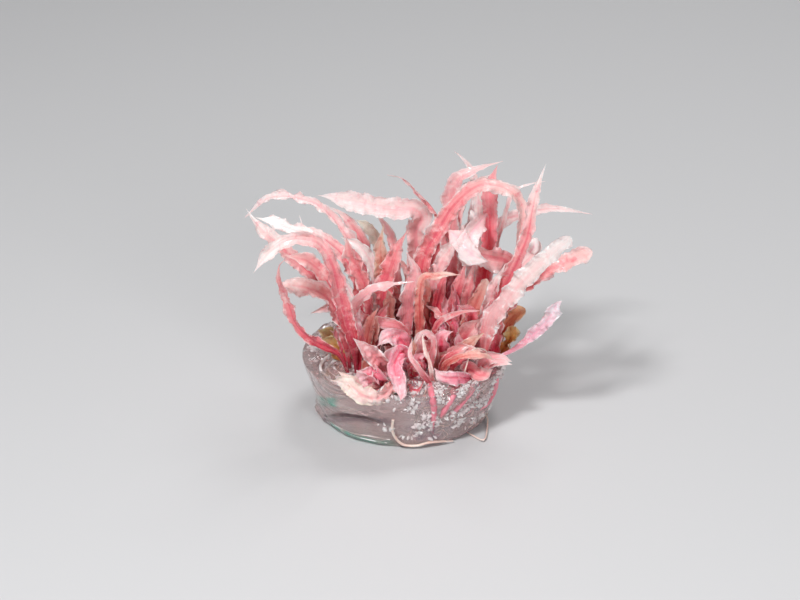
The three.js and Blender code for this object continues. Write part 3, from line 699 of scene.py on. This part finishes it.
# Puts a tree on an object, sets its inputs by identifier, and turns the result into a plain mesh
def growPiece(obj, tree, settings, name):
    modifier = obj.modifiers.new("grow", "NODES")
    modifier.node_group = tree
    sockets = {item.name: item.identifier for item in tree.interface.items_tree if item.in_out == "INPUT"}
    for label, value in settings.items():
        modifier[sockets[label]] = value
    bpy.context.view_layer.update()
    depsgraph = bpy.context.evaluated_depsgraph_get()
    evaluated = obj.evaluated_get(depsgraph)
    mesh = bpy.data.meshes.new_from_object(evaluated, depsgraph=depsgraph)
    mesh.name = name
    obj.modifiers.remove(modifier)
    bpy.data.objects.remove(obj)
    return addObject(name, mesh)


def makeLeaf(row, number, tree):
    points = row["line"] if "line" in row else leafPoints(row)
    path = lineObject(row["name"] + "_path", smoothLine(points))
    length = sum((b - a).length for a, b in zip(points, points[1:]))
    rows = min(max(length * leaves["rowsPerMillimetre"], leaves["fewestRows"]), leaves["mostRows"])
    scale = row["width"] / leaves["usualWidth"]
    shape = {**leaves["usual"], **row}
    settings = {
        "Width": row["width"] * mm,
        "Petiole": leaves["petiole"] * mm,
        "Tip": shape["tip"] * mm,
        "Blade Start": shape["blade"],
        "Thickness": leaves["thickness"] * mm,
        "Trough": shape["trough"],
        "Roll Foot": math.radians(row["roll"][0]),
        "Roll Tip": math.radians(row["roll"][1]),
        "Crimp": shape["crimp"] * scale * mm,
        "Crimp Pitch": shape["pitch"] * mm,
        "Twist": shape["twist"],
        "Taper": shape["taper"],
        "Close": shape["close"],
        "Crinkle": shape["crinkle"] * scale * mm,
        "Seed": number + leaves["seedShift"],
        "Rows": int(rows),
        "Material": materials[row["tone"]],
    }
    return growPiece(path, tree, settings, row["name"] + "_blade")


bladeTree = leafTree()
for number, row in enumerate(leafRows):
    blade = makeLeaf(row, number, bladeTree)
    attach(blade, "root")
    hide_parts(row["name"])
print("leaves grown:", len(leafRows))


# Short leaves crowded in the crowns, between the long ones; they get their names when they are grown
shortRows = [
    leaf("", "magenta", 6.5, [-6, -22], [-9, 10, -13, 11, -16, 14], [-22, -27, -29], [0, 20], blade=0.02),
    leaf("", "magenta", 5, [-7, -22], [-10, 9, -12.5, 10.5, -15.5, 9], [-22, -29.5, -31], [-20, 20],
         blade=0.02, close=0.9, crimp=2.2, crinkle=1.6),
    leaf("", "sheet", 4.6, [-12, -22], [-16, 10, -19.5, 9.5, -23, 12], [-22, -28, -27], [10, 40],
         blade=0.02, close=0.9, crimp=2.2, crinkle=1.4),
    leaf("", "cream", 3.6, [-8, -25], [-12, 8, -16, 9, -20, 12, -22, 13.5], [-25, -31, -31, -28], [30, -30],
         blade=0.02),
    leaf("", "cream", 3.6, [-5, -25], [-7, 5.5, -10, 4.5, -13.5, 2.5], [-25, -34, -35], [-20, 40],
         blade=0.02, crimp=2.0),
    leaf("", "snow", 3.2, [-3, -24], [-4.5, 7.5, -7, 7, -8.5, 4], [-24, -32, -35], [40, 0], blade=0.02,
         crimp=2.0),
    leaf("", "snow", 4.5, [-9, -21], [-11, 12.5, -14, 10.5, -17, 11], [-21, -27, -29], [0, 30], blade=0.02),
    leaf("", "brown", 6, [-20.5, -6], [-22.5, 21, -25, 22.5, -28, 24], [-6, -7, -5], [0, 20], blade=0.02),
    leaf("", "brown", 5, [-18, -4], [-19, 23, -21, 24.5, -24.5, 24], [-4, -5, -5], [0, 20], blade=0.02),
    leaf("", "pale", 4.5, [-1, -22], [-1.5, 8, -1, 4.5], [-22, -32, -35], [0, 10]),
    leaf("", "deep", 5, [4, -16], [4, 11, 3, 7, 2, 4], [-16, -28, -33.5], [0, 20], blade=0.02),
    leaf("", "magenta", 6, [-1, -14], [-2.5, 16, -4, 19, -3, 22], [-14, -20, -20], [0, 30]),
    leaf("", "tan", 2.2, [5, -12], [4, 17, 3, 21, 5, 25.5], [-12, -14, -14], [0, 40]),
    leaf("", "pink", 2.4, [8.5, -15], [8.6, 16, 8.3, 21, 8.8, 26], [-15, -17, -17], [0, 40]),
    leaf("", "pale", 2, [10.5, -13], [10.3, 15, 10.5, 20, 8.5, 27], [-13, -15, -14], [0, 40]),
    leaf("", "pale", 4.5, [6, -10], [6, 22, 5.5, 25, 8, 27], [-10, -15, -18], [0, 20]),
    leaf("", "tan", 3.6, [5, -20], [5.8, 9.5, 7, 7, 5.5, 4.5], [-20, -27, -31.5], [0, 40], blade=0.02,
         close=0.85, crimp=2.2),
    leaf("", "deep", 3, [6.5, -13], [6.5, 15, 5.8, 19, 5, 21], [-13, -14, -14], [0, 40]),
    leaf("", "magenta", 6, [12, -8], [12, 21, 12.5, 25, 16, 26.5], [-8, -11, -12], [0, 20]),
    leaf("", "pink", 3, [11, -16], [14, 17.5, 18, 20, 22, 22], [-16, -20, -20], [0, 30]),
    leaf("", "tan", 4, [15, -12], [18, 19, 22, 23, 26, 26], [-12, -15, -17], [0, 20]),
    leaf("", "deep", 4, [13, -17], [16, 16, 20, 18, 24, 17], [-17, -20, -20], [0, 30]),
    leaf("", "pink", 5, [20, -17], [21, 14, 25, 12, 29, 14], [-17, -22, -20], [0, 10]),
    leaf("", "pale", 4, [24, -14], [27, 17, 31, 17.5, 35.5, 16.5], [-14, -16, -16], [0, 10]),
    leaf("", "pink", 5, [29, -8], [30, 24, 31, 30, 33, 34], [-8, -9, -9], [0, 20]),
    leaf("", "deep", 3, [-15, -16], [-15.5, 18, -14.5, 24, -13, 29], [-16, -17, -17], [0, 40]),
    leaf("", "pink", 4, [-10, -6], [-9.5, 24, -8, 28, -6, 32], [-6, -7, -7], [0, 30]),
    leaf("", "tan", 4.5, [-12, -18], [-12, 15, -9.5, 17, -7, 15], [-18, -20, -21], [0, 10]),
    leaf("", "pale", 4, [24, -6], [25, 22, 26, 30, 29, 40, 33, 49], [-6, -8, -10, -12], [0, 20]),
    leaf("", "pink", 3.5, [19, 2], [20, 34, 22, 43, 23, 50], [2, 1, 0], [0, 20]),
    leaf("", "tan", 5, [26, -5], [29, 24, 31.5, 29, 34, 32.5], [-5, -6, -6], [0, 20]),
    leaf("", "pale", 2.6, [16, 16], [17, 50, 18.5, 66, 21, 74, 25.5, 77.3, 30.3, 79], [16, 15, 14, 14],
         [0, 30], blade=0.6, close=0.85),
    leaf("", "pale", 4.8, [8, 8], [8.5, 38, 11, 47, 14.5, 53, 18.5, 57.5], [8, 4, 2, 1], [0, 20],
         close=0.85),
    leaf("", "pale", 3.5, [-4, 10], [-3, 45, -4, 56, -6, 61, -9, 65.5, -12, 68], [10, 14, 17, 20], [0, 20]),
    leaf("", "pale", 1.9, [8.6, -23], [8, 9.5, 4.6, 14.5, 1.8, 19, 2.4, 24.5], [-23, -28, -30, -28, -24],
         [0, 40], blade=0.02),
    leaf("", "cream", 1.5, [9.6, -22], [9.3, 10, 8.6, 14.5, 7, 20, 5.6, 25.5], [-22, -27, -28, -26, -22],
         [0, 40], blade=0.02),
    leaf("", "salmon", 2.6, [12, -16], [14, 15.8, 19, 18.2, 25, 18.8, 29.5, 17.2],
         [-16, -22, -25, -25, -22], [0, 30], blade=0.02, crimp=1.9),
]

crown = {
    # Folds that hang over the leaf below them, and a curled tip: points are [across, up, depth]
    "folds": [
        {"width": 3.2, "tone": "snow", "roll": [0, 0], "crimp": 0.2, "crinkle": 0.3, "pitch": 4, "twist": 0,
         "blade": 0.01, "close": 0.97, "tip": 2.8, "trough": 0.4,
         "points": [[41.6, 52.8, 0], [42.4, 54.1, -1.2], [42.6, 55.7, -1.5], [42.2, 57.2, -0.8]]},
        {"width": 6.2, "tone": "sheet", "roll": [10, -30], "crimp": 0.9, "crinkle": 0.6, "pitch": 4.5,
         "twist": 1.6, "blade": 0.01,
         "points": [[14.5, 60, 1], [17, 57.5, -2], [19.5, 54.5, -5], [22.5, 51.5, -6.5], [27.5, 49.5, -6.5]]},
        {"width": 6.5, "tone": "sheet", "roll": [30, 0], "crimp": 0.8, "crinkle": 0.6, "pitch": 4,
         "twist": 1.6, "blade": 0.01, "close": 0.92,
         "points": [[27, 65.5, 8], [24, 62, 3], [21, 57.5, -2], [20.3, 53, -4.8], [21.5, 48, -5.2]]},
    ],
    # Centre [x, y] and radius of each crown, how many leaves fill it, and how tall they stand
    "clumps": [
        {"centre": [-15.5, -8], "radius": 5, "count": 10, "height": [10, 24]},
        {"centre": [-5, 5], "radius": 6, "count": 6, "height": [14, 30]},
        {"centre": [12, 6], "radius": 8, "count": 11, "height": [14, 32]},
        {"centre": [-3, 13], "radius": 7, "count": 9, "height": [18, 34]},
        {"centre": [22, -4], "radius": 8, "count": 14, "height": [10, 26]},
        {"centre": [4, -14], "radius": 8, "count": 9, "height": [4, 9]},
    ],
    "seed": 7,
    "lean": [0.1, 0.5],
    "sway": [-1.5, 1.5],
    "tipSway": [-3, 3],
    "widths": [3.2, 5.6],
    "footRoll": [-40, 40],
    "tipRoll": [-50, 60],
    "tones": ["deep", "pink", "hot", "salmon", "pink", "magenta"],
    "firstSeed": 60,
    "usual": {"crimp": 1.5, "crinkle": 0.9, "pitch": 3.2},
}


# Leaves that fill a clump stand nearly upright and lean outwards
def clumpRows(clump, dice):
    rows = []
    for _ in range(clump["count"]):
        turn = dice.uniform(0, 2 * math.pi)
        reach = clump["radius"] * math.sqrt(dice.random())
        x = clump["centre"][0] + reach * math.cos(turn)
        y = clump["centre"][1] + reach * math.sin(turn)
        height = dice.uniform(*clump["height"])
        lean = dice.uniform(*crown["lean"]) * height
        way = Vector((math.cos(turn) * lean, math.sin(turn) * lean * 0.7, 0))
        base = Vector((x, y, leaves["seatHeight"]))
        line = [base, base + way * 0.15 + Vector((0, 0, height * 0.45)),
                base + way * 0.5 + Vector((dice.uniform(*crown["sway"]), 0, height * 0.8)),
                base + way + Vector((dice.uniform(*crown["tipSway"]), 0, height))]
        rows.append({
            "line": line,
            "width": dice.uniform(*crown["widths"]),
            "roll": [dice.uniform(*crown["footRoll"]), dice.uniform(*crown["tipRoll"])],
            "tone": dice.choice(crown["tones"]),
        })
    return rows


dice = random.Random(crown["seed"])
crownRows = list(shortRows)
for fold in crown["folds"]:
    crownRows.append({**fold, "line": [placeOnPlane(*point) for point in fold["points"]]})
for clump in crown["clumps"]:
    crownRows += clumpRows(clump, dice)
for number, shape in enumerate(crownRows):
    row = {**crown["usual"], **shape, "name": "crownLeaf" + str(number + 1)}
    blade = makeLeaf(row, number + crown["firstSeed"], bladeTree)
    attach(blade, "root")
print("crown leaves grown:", len(crownRows))


# The gel plug: a cup's taper with a broken top, a notch low in front and a thin skin low on its left
gel = {
    "height": 22.0,
    "foot": 28.5,
    "taper": 0.2955,
    "profile": [(0, 0), (14, 0), (24, 0), (27.3, 0.05), (28.3, 0.5), (28.75, 1.3), (29.6, 4), (30.55, 7),
                (31.6, 10.5), (32.65, 14), (33.6, 17), (34.35, 19.6), (34.75, 20.9), (34.6, 21.6),
                (33.9, 21.95), (32.4, 22.0), (28, 21.9), (22, 21.8), (15, 21.8), (8, 21.8), (0, 21.8)],
    "around": 300,
    "facet": 0.55,
    "rim": 21.5,
    "wallStart": 0.4,
    "wallRadius": 20,
    "skin": {"thickness": 2.2, "height": 1.1, "spread": 1.9, "side": 3.02, "width": 0.3},
    "notch": {"depth": 1.5, "height": 4, "side": 2 * math.pi - 1.7, "width": 0.09},
    "colour": (0.93, 0.73, 0.72),
    "cloudy": (0.98, 0.88, 0.88),
    "blush": (0.97, 0.8, 0.76),
    # Painted green reflection, low on the left
    "paintedGreenReflection": (0.16, 0.72, 0.56),
    # Painted mauve glints in the torn part
    "mauve": (0.58, 0.42, 0.6),
    "shade": (0.34, 0.25, 0.3),
    # Painted near-white highlight along the curled fold
    "curlHighlight": (0.97, 0.96, 0.96),
    "curls": [(-20.5, 15.5, 8.0), (-20.0, 16.5, 11.5), (-17.5, 14.5, 14.8)],
    "upPerHeight": 0.9066,
    "upPerDepth": 0.4225,
    "ior": 1.34,
    "clear": 0.75,
    "absorbed": (0.92, 0.6, 0.57),
    "density": 13.0,
    # Crumbs near-white, partly as broken, frosted gel and partly as painted glints
    "crumbColours": [(1.0, 0.97, 0.97), (0.98, 0.85, 0.86)],
    "crumbsPerSquareMetre": 1700000.0,
    "smallestCrumb": 0.3,
    "largestCrumb": 1.4,
    "crumbSeed": 3,
}


# A strand: diameter, finish and route [across, up, depth] in millimetres. A route of [across, up] follows the
# side wall, so far below it.
def strandRow(diameter, finish, route, below=0):
    return {"diameter": diameter, "finish": finish, "route": route, "below": below}


# Stalks that run down in the gel, and roots
strands = {
    "stalk_centre": strandRow(1.3, "stalk", [
        [2.6, 17, -12], [4, 14.5, -16], [7, 12, -21], [9, 8, -24.5], [9.5, 3, -25.5], [9, -7, -26]]),
    "stalk_middle": strandRow(1.2, "stalk", [
        [16.5, 12.5, -18], [16, 10, -21], [14, 5, -24], [11, -2, -25.5]]),
    "stalk_right": strandRow(1.2, "stalk", [
        [28.2, 16.5, -14.5], [29, 12, -12.5], [28.5, 4, -10], [26, 0.5, -11]]),
    "root_front": strandRow(0.9, "root", [
        [-4, -2.5, -32.2], [-4.2, -6, -31], [-3, -9, -29.9], [-0.5, -11, -29.3], [4, -11.3, -29.2],
        [8, -10.3, -28.4], [16, -10, -25]]),
    "root_loop": strandRow(0.6, "root", [
        [25.6, -1, -9], [27.5, -2.4, -9.5], [27.6, -5.8, -15], [26, -9.7, -24.4], [22.5, -8.3, -20.6],
        [20, -7, -17.5]]),
}

# Hair-thin roots and stalks that only show through the gel
fineStrands = {
    "stalkLow": strandRow(1.0, "stalk", [[20.5, 9, -21], [18, 2, -24], [14, -2.5, -25]]),
    "stalkBack": strandRow(1.0, "stalk", [[23, 10, -18], [23.5, 4, -20], [20, -1, -21]]),
    "rootArch": strandRow(0.5, "root", [
        [26.5, 17, -14], [26.8, 20, -17], [22, 20.4, -23], [20, 15, -25], [19, 11, -25], [17, 4.5, -27]]),
    "rootMidA": strandRow(0.4, "root", [
        [3, 9, -24], [2, 4, -26], [4, -1, -27], [2, -6, -26], [5, -8, -25]]),
    "rootRightA": strandRow(0.4, "root", [
        [24, 9, -15], [25, 4, -17], [22, 0, -20], [23, -4, -18], [20, -7, -19]]),
    "rootRightB": strandRow(0.35, "root", [[27, 8, -11], [29.5, 4, -9], [27.5, 0, -10], [28, -2, -8]]),
}

# The same just under the side wall
wallStrands = {
    "wallStalkCentre": strandRow(2.3, "stalk", [
        [8.1, 10.4], [8.3, 8], [8.8, 5], [9.3, 2], [9.2, -2], [8.6, -6.5]], 0.9),
    "wallStalkMiddle": strandRow(2.2, "stalk", [[17, 8.5], [15.4, 5], [13.6, 2], [11.6, -1.5]], 0.7),
    "wallStalkRight": strandRow(2.0, "stalk", [[22.5, 8], [20, 4.6], [17.6, 1.8], [15, -0.6]], 0.7),
    "wallStalkFar": strandRow(2.4, "stalk", [
        [29.4, 13.5], [30.2, 10], [29.4, 6], [27.6, 3], [25, 0.4]], 0.5),
    "wallRootRight": strandRow(0.5, "root", [
        [11, -4.5], [14, -4.6], [16, -3], [16.6, -0.5], [15, 1.2]], 1.2),
    "wallRootFine": strandRow(0.4, "root", [[6, 1.5], [10, 2.2], [14, 2.0], [17, 4], [18, 8]], 1.0),
    "wallRootMid": strandRow(0.4, "root", [[9, -7.5], [12, -6], [14, -7.6], [12.5, -9]], 1.3),
    # Pale veil strands trace the bright lines of the folds and the skin low on the left: partly the gel's
    # folded skin, partly a painted highlight
    "wallFold": strandRow(0.7, "veil", [[-30.5, 8.5], [-28, 5], [-24, 2.2], [-18, 1.2], [-13, 0.5]], 0.5),
    "wallCurl": strandRow(0.8, "veil", [[-27.5, 9.5], [-26.6, 7.3], [-23.5, 5.4], [-19.5, 5.2]], 0.5),
    "wallCurlRim": strandRow(1.0, "veil", [
        [-25.5, 18.2], [-27.6, 16.5], [-28.2, 14], [-26.5, 11.6], [-22.5, 9], [-17.5, 6.6]], 0.6),
    "wallCurlInner": strandRow(0.6, "veil", [[-23, 16.6], [-25.4, 15], [-25.3, 12.8], [-23, 11.6]], 0.7),
    "wallDark": strandRow(1.5, "darkRoot", [
        [-26.5, -1.9], [-22, -1.2], [-17, -1.2], [-12, -2], [-8, -3.2], [-5, -4.2]], 0.5),
    "wallBase": strandRow(0.6, "veil", [
        [-27, -2.4], [-23, -5.2], [-17, -7.4], [-11, -8.2], [-5, -9.4]], 0.45),
    "wallBaseLow": strandRow(0.5, "veil", [[-24, -5], [-18, -7.9], [-12, -9.5], [-6, -10.5]], 0.4),
}

strandShape = {
    "step": 0.4,
    "unevenness": 0.22,
    "end": 0.45,
    "sides": 10,
    "seedStep": 3.1,
    "firstFineSeed": 20,
    "firstDepth": -28.0,
    "depthRounds": 6,
}

strandColours = {
    "stalk": {"slot": "leaf_deep", "low": (0.82, 0.32, 0.38), "high": (0.74, 0.2, 0.26)},
    "root": {"slot": "root", "low": (0.74, 0.52, 0.46), "high": (0.85, 0.7, 0.63)},
    # Veil: pale strands, partly the gel's folded skin and partly painted highlight
    "veil": {"slot": "root", "low": (0.9, 0.78, 0.77), "high": (0.97, 0.93, 0.92)},
    "darkRoot": {"slot": "root", "low": (0.07, 0.04, 0.045), "high": (0.2, 0.13, 0.13)},
}


def strandMaterial(name, tone):
    material, graph, shader = newMaterial(name)
    place = graph.node("ShaderNodeTexCoord", output="Object")
    patch = graph.cloud(place, scale=260, detail=3)
    graph.fill(shader, {
        "Base Color": graph.colour(graph.smooth(patch, 0.3, 0.7), tone["low"], tone["high"]),
        "Normal": graph.bump(graph.cloud(place, scale=1100, detail=3), 0.3, 0.0003),
        "Roughness": 0.3,
        "Subsurface Weight": 0.3,
        "Subsurface Radius": (1.0, 0.6, 0.5),
        "Subsurface Scale": 0.0012,
    })
    return material


# A round strand along a path, uneven in thickness, drawn out at its end
def strandTree():
    graph, given = newTree("rootStrand", ["Diameter", "Unevenness", "End", "Seed"], ["Sides"])
    path = graph.node("GeometryNodeResampleCurve", {"mode": "LENGTH"},
                      {"Curve": given["Geometry"], "Length": strandShape["step"] * mm})
    way = graph.node("GeometryNodeSplineParameter", output="Length")
    share = Wire(graph, way.socket.node.outputs["Factor"])
    lump = graph.cloud(graph.vector(way * 700, given["Seed"], 0.0)) - 0.5
    thin = graph.smooth(share, 0.8, 1.0, 1.0, 0.0) * (1.0 - given["End"]) + given["End"]
    swell = (lump * 2 * given["Unevenness"] + 1.0) * thin
    ring = graph.node("GeometryNodeCurvePrimitiveCircle", {"mode": "RADIUS"},
                      {"Resolution": given["Sides"], "Radius": given["Diameter"] * 0.5})
    tube = graph.node("GeometryNodeCurveToMesh", {},
                      {"Curve": path, "Profile Curve": ring, "Scale": swell, "Fill Caps": True})
    tube = graph.node("GeometryNodeSetShadeSmooth", {}, {"Geometry": tube})
    return endTree(graph, tube, given["Material"])


strandMaterials = {key: strandMaterial("wet_" + key, tone) for key, tone in strandColours.items()}
strandMaker = strandTree()


# Depth on the picture plane of a place so far below the gel's side wall
def wallDepth(across, up, below):
    tilt = math.radians(leaves["routeTilt"])
    depth = strandShape["firstDepth"]
    for _ in range(strandShape["depthRounds"]):
        height = up / math.cos(tilt) - depth * math.tan(tilt)
        reach = gel["foot"] + gel["taper"] * height - below
        depth = -math.sqrt(max(reach * reach - across * across, 1.0))
    # Above the rim it stays the same way below the gel's top
    top = gel["height"] - below
    return depth if height < top else (up / math.cos(tilt) - top) / math.tan(tilt)


def makeStrand(name, strand, number):
    places = [p if len(p) == 3 else (*p, wallDepth(*p, strand["below"])) for p in strand["route"]]
    route = [placeOnPlane(*p) for p in places]
    path = lineObject(name + "_path", smoothLine(route))
    return growPiece(path, strandMaker, {
        "Diameter": strand["diameter"] * mm,
        "Unevenness": strandShape["unevenness"],
        "End": strandShape["end"],
        "Seed": number * strandShape["seedStep"],
        "Sides": strandShape["sides"],
        "Material": strandMaterials[strand["finish"]],
    }, name + "_strand")


for number, (name, strand) in enumerate(strands.items()):
    piece = makeStrand(name, strand, number)
    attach(piece, "root")
    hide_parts(name)
for number, (name, strand) in enumerate({**fineStrands, **wallStrands}.items()):
    piece = makeStrand(name, strand, number + strandShape["firstFineSeed"])
    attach(piece, "root")
print("stalks and roots made:", len(strands) + len(fineStrands) + len(wallStrands))


def crumbMaterial():
    material, graph, shader = newMaterial("brokenGel")
    place = graph.node("ShaderNodeTexCoord", output="Object")
    patch = graph.cloud(place, scale=300)
    # Near-white base colour: partly the broken gel's frosting, partly painted glints
    graph.fill(shader, {
        "Base Color": graph.colour(graph.smooth(patch, 0.35, 0.65), *gel["crumbColours"]),
        "Roughness": 0.08,
        "Transmission Weight": 0.36,
        "Coat Weight": 1.0,
        "Coat Roughness": 0.04,
        "IOR": gel["ior"],
    })
    return material


def gelMaterial():
    material, graph, shader = newMaterial("clearGel")
    place = graph.node("ShaderNodeTexCoord", output="Object")
    x, y, z = graph.split(place)
    haze = graph.cloud(place, scale=90, detail=4, roughness=0.6)
    colour = graph.colour(graph.smooth(haze, 0.38, 0.6), gel["colour"], gel["cloudy"])
    flesh = graph.cloud(graph.vector(x * 60, z * 120, y * 60))
    colour = graph.colour(graph.smooth(flesh, 0.5, 0.66) * 0.6, colour, gel["blush"])
    # Height in the picture; painted green reflections low on the left, painted mauve glints in the torn part
    up = z * gel["upPerHeight"] + y * gel["upPerDepth"]
    low = graph.smooth(z, 0.0032, 0.0018) * graph.smooth(x, -0.001, -0.006) * graph.smooth(x, -0.027, -0.024)
    high = graph.smooth(graph.maths("ABSOLUTE", up - 0.003), 0.0022, 0.001) * graph.smooth(x, -0.0215, -0.024)
    # The fold that curls down from the rim on the left, with a painted near-white highlight along it, and the
    # dark line above the foot
    curl = 0.0
    for u, v, radius in gel["curls"]:
        away = graph.measure("DISTANCE", graph.vector(x, up, 0.0), (u * mm, v * mm, 0.0))
        curl = graph.smooth(graph.maths("ABSOLUTE", away - radius * mm), 0.0011, 0.0) + curl
    front = graph.smooth(y, -0.002, -0.01)
    curl = curl * front * graph.smooth(x, -0.014, -0.02) * graph.smooth(up, 0.017, 0.012)
    # The curled fold gets a painted near-white highlight
    colour = graph.colour(curl * 0.55, colour, gel["curlHighlight"])
    line = graph.maths("ABSOLUTE", up + 0.0026 + (haze - 0.5) * 0.004 + (x + 0.014) * (x + 0.014) * 8)
    dark = graph.smooth(line, 0.0014, 0.0003) * front * graph.smooth(x, -0.002, -0.007)
    colour = graph.colour(dark * 0.8, colour, gel["shade"])
    greenReflection = (low + high) * graph.smooth(haze, 0.36, 0.5, 0.5, 1.0) * graph.smooth(y, 0.0, -0.008)
    colour = graph.colour(greenReflection * 0.95, colour, gel["paintedGreenReflection"])
    mauve = graph.smooth(graph.cloud(place, scale=190, detail=3), 0.52, 0.66) * graph.smooth(x, -0.004, 0.004)
    colour = graph.colour(mauve * 0.45, colour, gel["mauve"])
    # Moulded side on the left, torn and crumbly towards the right front
    crumbs = graph.node("ShaderNodeTexVoronoi", {"feature": "F1"}, {"Vector": place, "Scale": 520},
                        "Distance")
    torn = graph.smooth(x, -0.008, 0.012) * graph.smooth(y, 0.005, -0.012)
    fine = graph.cloud(place, scale=260, detail=4, roughness=0.65)
    relief = crumbs * torn * 1.1 + fine * (torn * 0.6 + 0.2) + curl * 1.2
    graph.fill(shader, {
        "Base Color": colour,
        "Roughness": graph.smooth(haze, 0.4, 0.7, 0.05, 0.2),
        "Normal": graph.bump(relief, 0.5, 0.0012),
        "Transmission Weight": gel["clear"],
        "IOR": gel["ior"],
        "Coat Weight": 0.7,
        "Coat Roughness": 0.03,
    })
    depth = graph.tree.nodes.new("ShaderNodeVolumeAbsorption")
    graph.fill(depth, {"Color": gel["absorbed"], "Density": gel["density"]})
    graph.tree.links.new(depth.outputs[0], graph.tree.nodes["Material Output"].inputs["Volume"])
    return material


def makeGel():
    work = bmesh.new()
    line = []
    for (r0, z0), (r1, z1) in zip(gel["profile"], gel["profile"][1:]):
        steps = max(1, round(math.dist((r0, z0), (r1, z1)) / gel["facet"]))
        line += [(r0 + (r1 - r0) * i / steps, z0 + (z1 - z0) * i / steps) for i in range(steps)]
    count = gel["around"]
    foot = work.verts.new((0, 0, 0))
    crest = work.verts.new((0, 0, gelTop(0, 0) * mm))
    rows = []
    for radius, height in line[1:]:
        row = []
        for k in range(count):
            turn = 2 * math.pi * k / count
            row.append(work.verts.new(gelPoint(radius, height, turn) * mm))
        rows.append(row)
    for k in range(count):
        n = (k + 1) % count
        work.faces.new((foot, rows[0][n], rows[0][k]))
        work.faces.new((crest, rows[-1][k], rows[-1][n]))
        for a, b in zip(rows, rows[1:]):
            work.faces.new((a[k], a[n], b[n], b[k]))
    bmesh.ops.recalc_face_normals(work, faces=work.faces)
    mesh = bpy.data.meshes.new("gelPlug")
    work.to_mesh(mesh)
    mesh.polygons.foreach_set("use_smooth", [True] * len(mesh.polygons))
    mesh.materials.append(gelMaterial())
    return addObject("gelPlug", mesh)


# Height of the broken top at a point, in millimetres
def gelTop(x, y):
    lumps = noise.noise(Vector((x, y, 3.0)) * 0.12) * 1.1 + noise.noise(Vector((x, y, 8.0)) * 0.3) * 0.7
    crumbs = abs(noise.noise(Vector((x, y, 5.0)) * 0.75)) * 0.6
    return min(gel["height"] - 0.3 + lumps - crumbs, gel["height"] + 1.0)


def hump(value, middle, spread):
    return math.exp(-((value - middle) / spread) ** 2)


def ramp(value, low, high):
    return max(0.0, min(1.0, (value - low) / (high - low)))


def gelPoint(radius, height, turn):
    x, y = radius * math.cos(turn), radius * math.sin(turn)
    if height > gel["rim"]:
        return Vector((x, y, gelTop(x, y)))
    if height > gel["wallStart"] and radius > gel["wallRadius"]:
        around = Vector((math.cos(turn) * 3, math.sin(turn) * 3, height * 0.16))
        wide = noise.noise(around) * 0.5 + noise.noise(around * 4) * 0.22
        torn = ramp(x, -6, 8) * ramp(-y, -4, 10)
        crumbs = abs(noise.noise(Vector((x, y, height)) * 0.55)) * 1.5 * torn
        off = math.pi - abs(turn - math.pi)
        skin, notch = gel["skin"], gel["notch"]
        flap = skin["thickness"] * hump(height, skin["height"], skin["spread"])
        flap *= hump(off, skin["side"], skin["width"])
        flap *= 0.75 + 0.5 * noise.noise(Vector((turn * 9, height * 0.8, 1)))
        dent = notch["depth"] * hump(height, 0, notch["height"]) * hump(turn, notch["side"], notch["width"])
        stretch = (radius + wide + flap - dent - crumbs) / radius
        x, y = x * stretch, y * stretch
        height = height - 0.25 * torn * crumbs
    return Vector((x, y, max(height, 0.0)))


# Broken bits of gel, scattered where the plug is torn and round the feet of the leaves
def crumbTree():
    graph, given = newTree("gelCrumbs", ["Density", "Smallest", "Largest"], ["Seed"])
    spot = graph.node("GeometryNodeInputPosition")
    x, y, z = graph.split(spot)
    # Torn front, the top inside the rim, and the ridge at the back left
    torn = graph.smooth(x, -0.012, 0.004) * graph.smooth(y, 0.004, -0.01) * graph.smooth(z, 0.002, 0.006)
    patch = graph.smooth(graph.cloud(spot, scale=170), 0.45, 0.62)
    away = graph.measure("LENGTH", graph.vector(x, y, 0.0))
    top = graph.smooth(z, 0.0205, 0.0213) * graph.smooth(away, 0.033, 0.03)
    ridge = graph.smooth(x, -0.012, -0.02) * graph.smooth(y, -0.006, 0.002) * graph.smooth(z, 0.0203, 0.021)
    ridge = ridge * graph.smooth(away, 0.0335, 0.031)
    share = graph.maths("MINIMUM", (torn + top * 0.6) * patch + ridge * 0.5, 1.0)
    scatter = graph.node("GeometryNodeDistributePointsOnFaces", {"distribute_method": "RANDOM"},
                         {"Mesh": given["Geometry"], "Density": given["Density"] * share,
                          "Seed": given["Seed"]})
    lump = graph.node("GeometryNodeMeshIcoSphere", {}, {"Radius": 1.0, "Subdivisions": 1})
    corner = graph.node("GeometryNodeInputPosition")
    wobble = graph.cloud(corner, scale=1.4, detail=1) - 0.5
    shaped = graph.scaled(corner, wobble * 1.6 + 1.0)
    lump = graph.node("GeometryNodeSetPosition", {}, {"Geometry": lump, "Position": shaped})
    size = graph.node("FunctionNodeRandomValue", {"data_type": "FLOAT_VECTOR"},
                      {"Min": (0.25, 0.25, 0.25), "Max": (1.1, 1.0, 0.7), "Seed": given["Seed"]})
    reach = graph.node("FunctionNodeRandomValue", {"data_type": "FLOAT"},
                       {"Min": given["Smallest"], "Max": given["Largest"], "Seed": given["Seed"]}, output=1)
    turned = graph.node("FunctionNodeRandomValue", {"data_type": "FLOAT_VECTOR"},
                        {"Max": (6.28, 6.28, 6.28), "Seed": given["Seed"]})
    bits = graph.node("GeometryNodeInstanceOnPoints", {},
                      {"Points": scatter, "Instance": lump, "Rotation": turned,
                       "Scale": graph.scaled(size, reach)})
    return endTree(graph, bits, given["Material"])


plug = makeGel()
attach(plug, "root")
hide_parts("gel_block")
crumbs = growPiece(addObject("crumbGround", plug.data.copy()), crumbTree(), {
    "Density": gel["crumbsPerSquareMetre"],
    "Smallest": gel["smallestCrumb"] * mm,
    "Largest": gel["largestCrumb"] * mm,
    "Seed": gel["crumbSeed"],
    "Material": crumbMaterial(),
}, "gelCrumbs")
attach(crumbs, "root")
print("gel made, crumbs scattered:", len(crumbs.data.polygons), "faces")
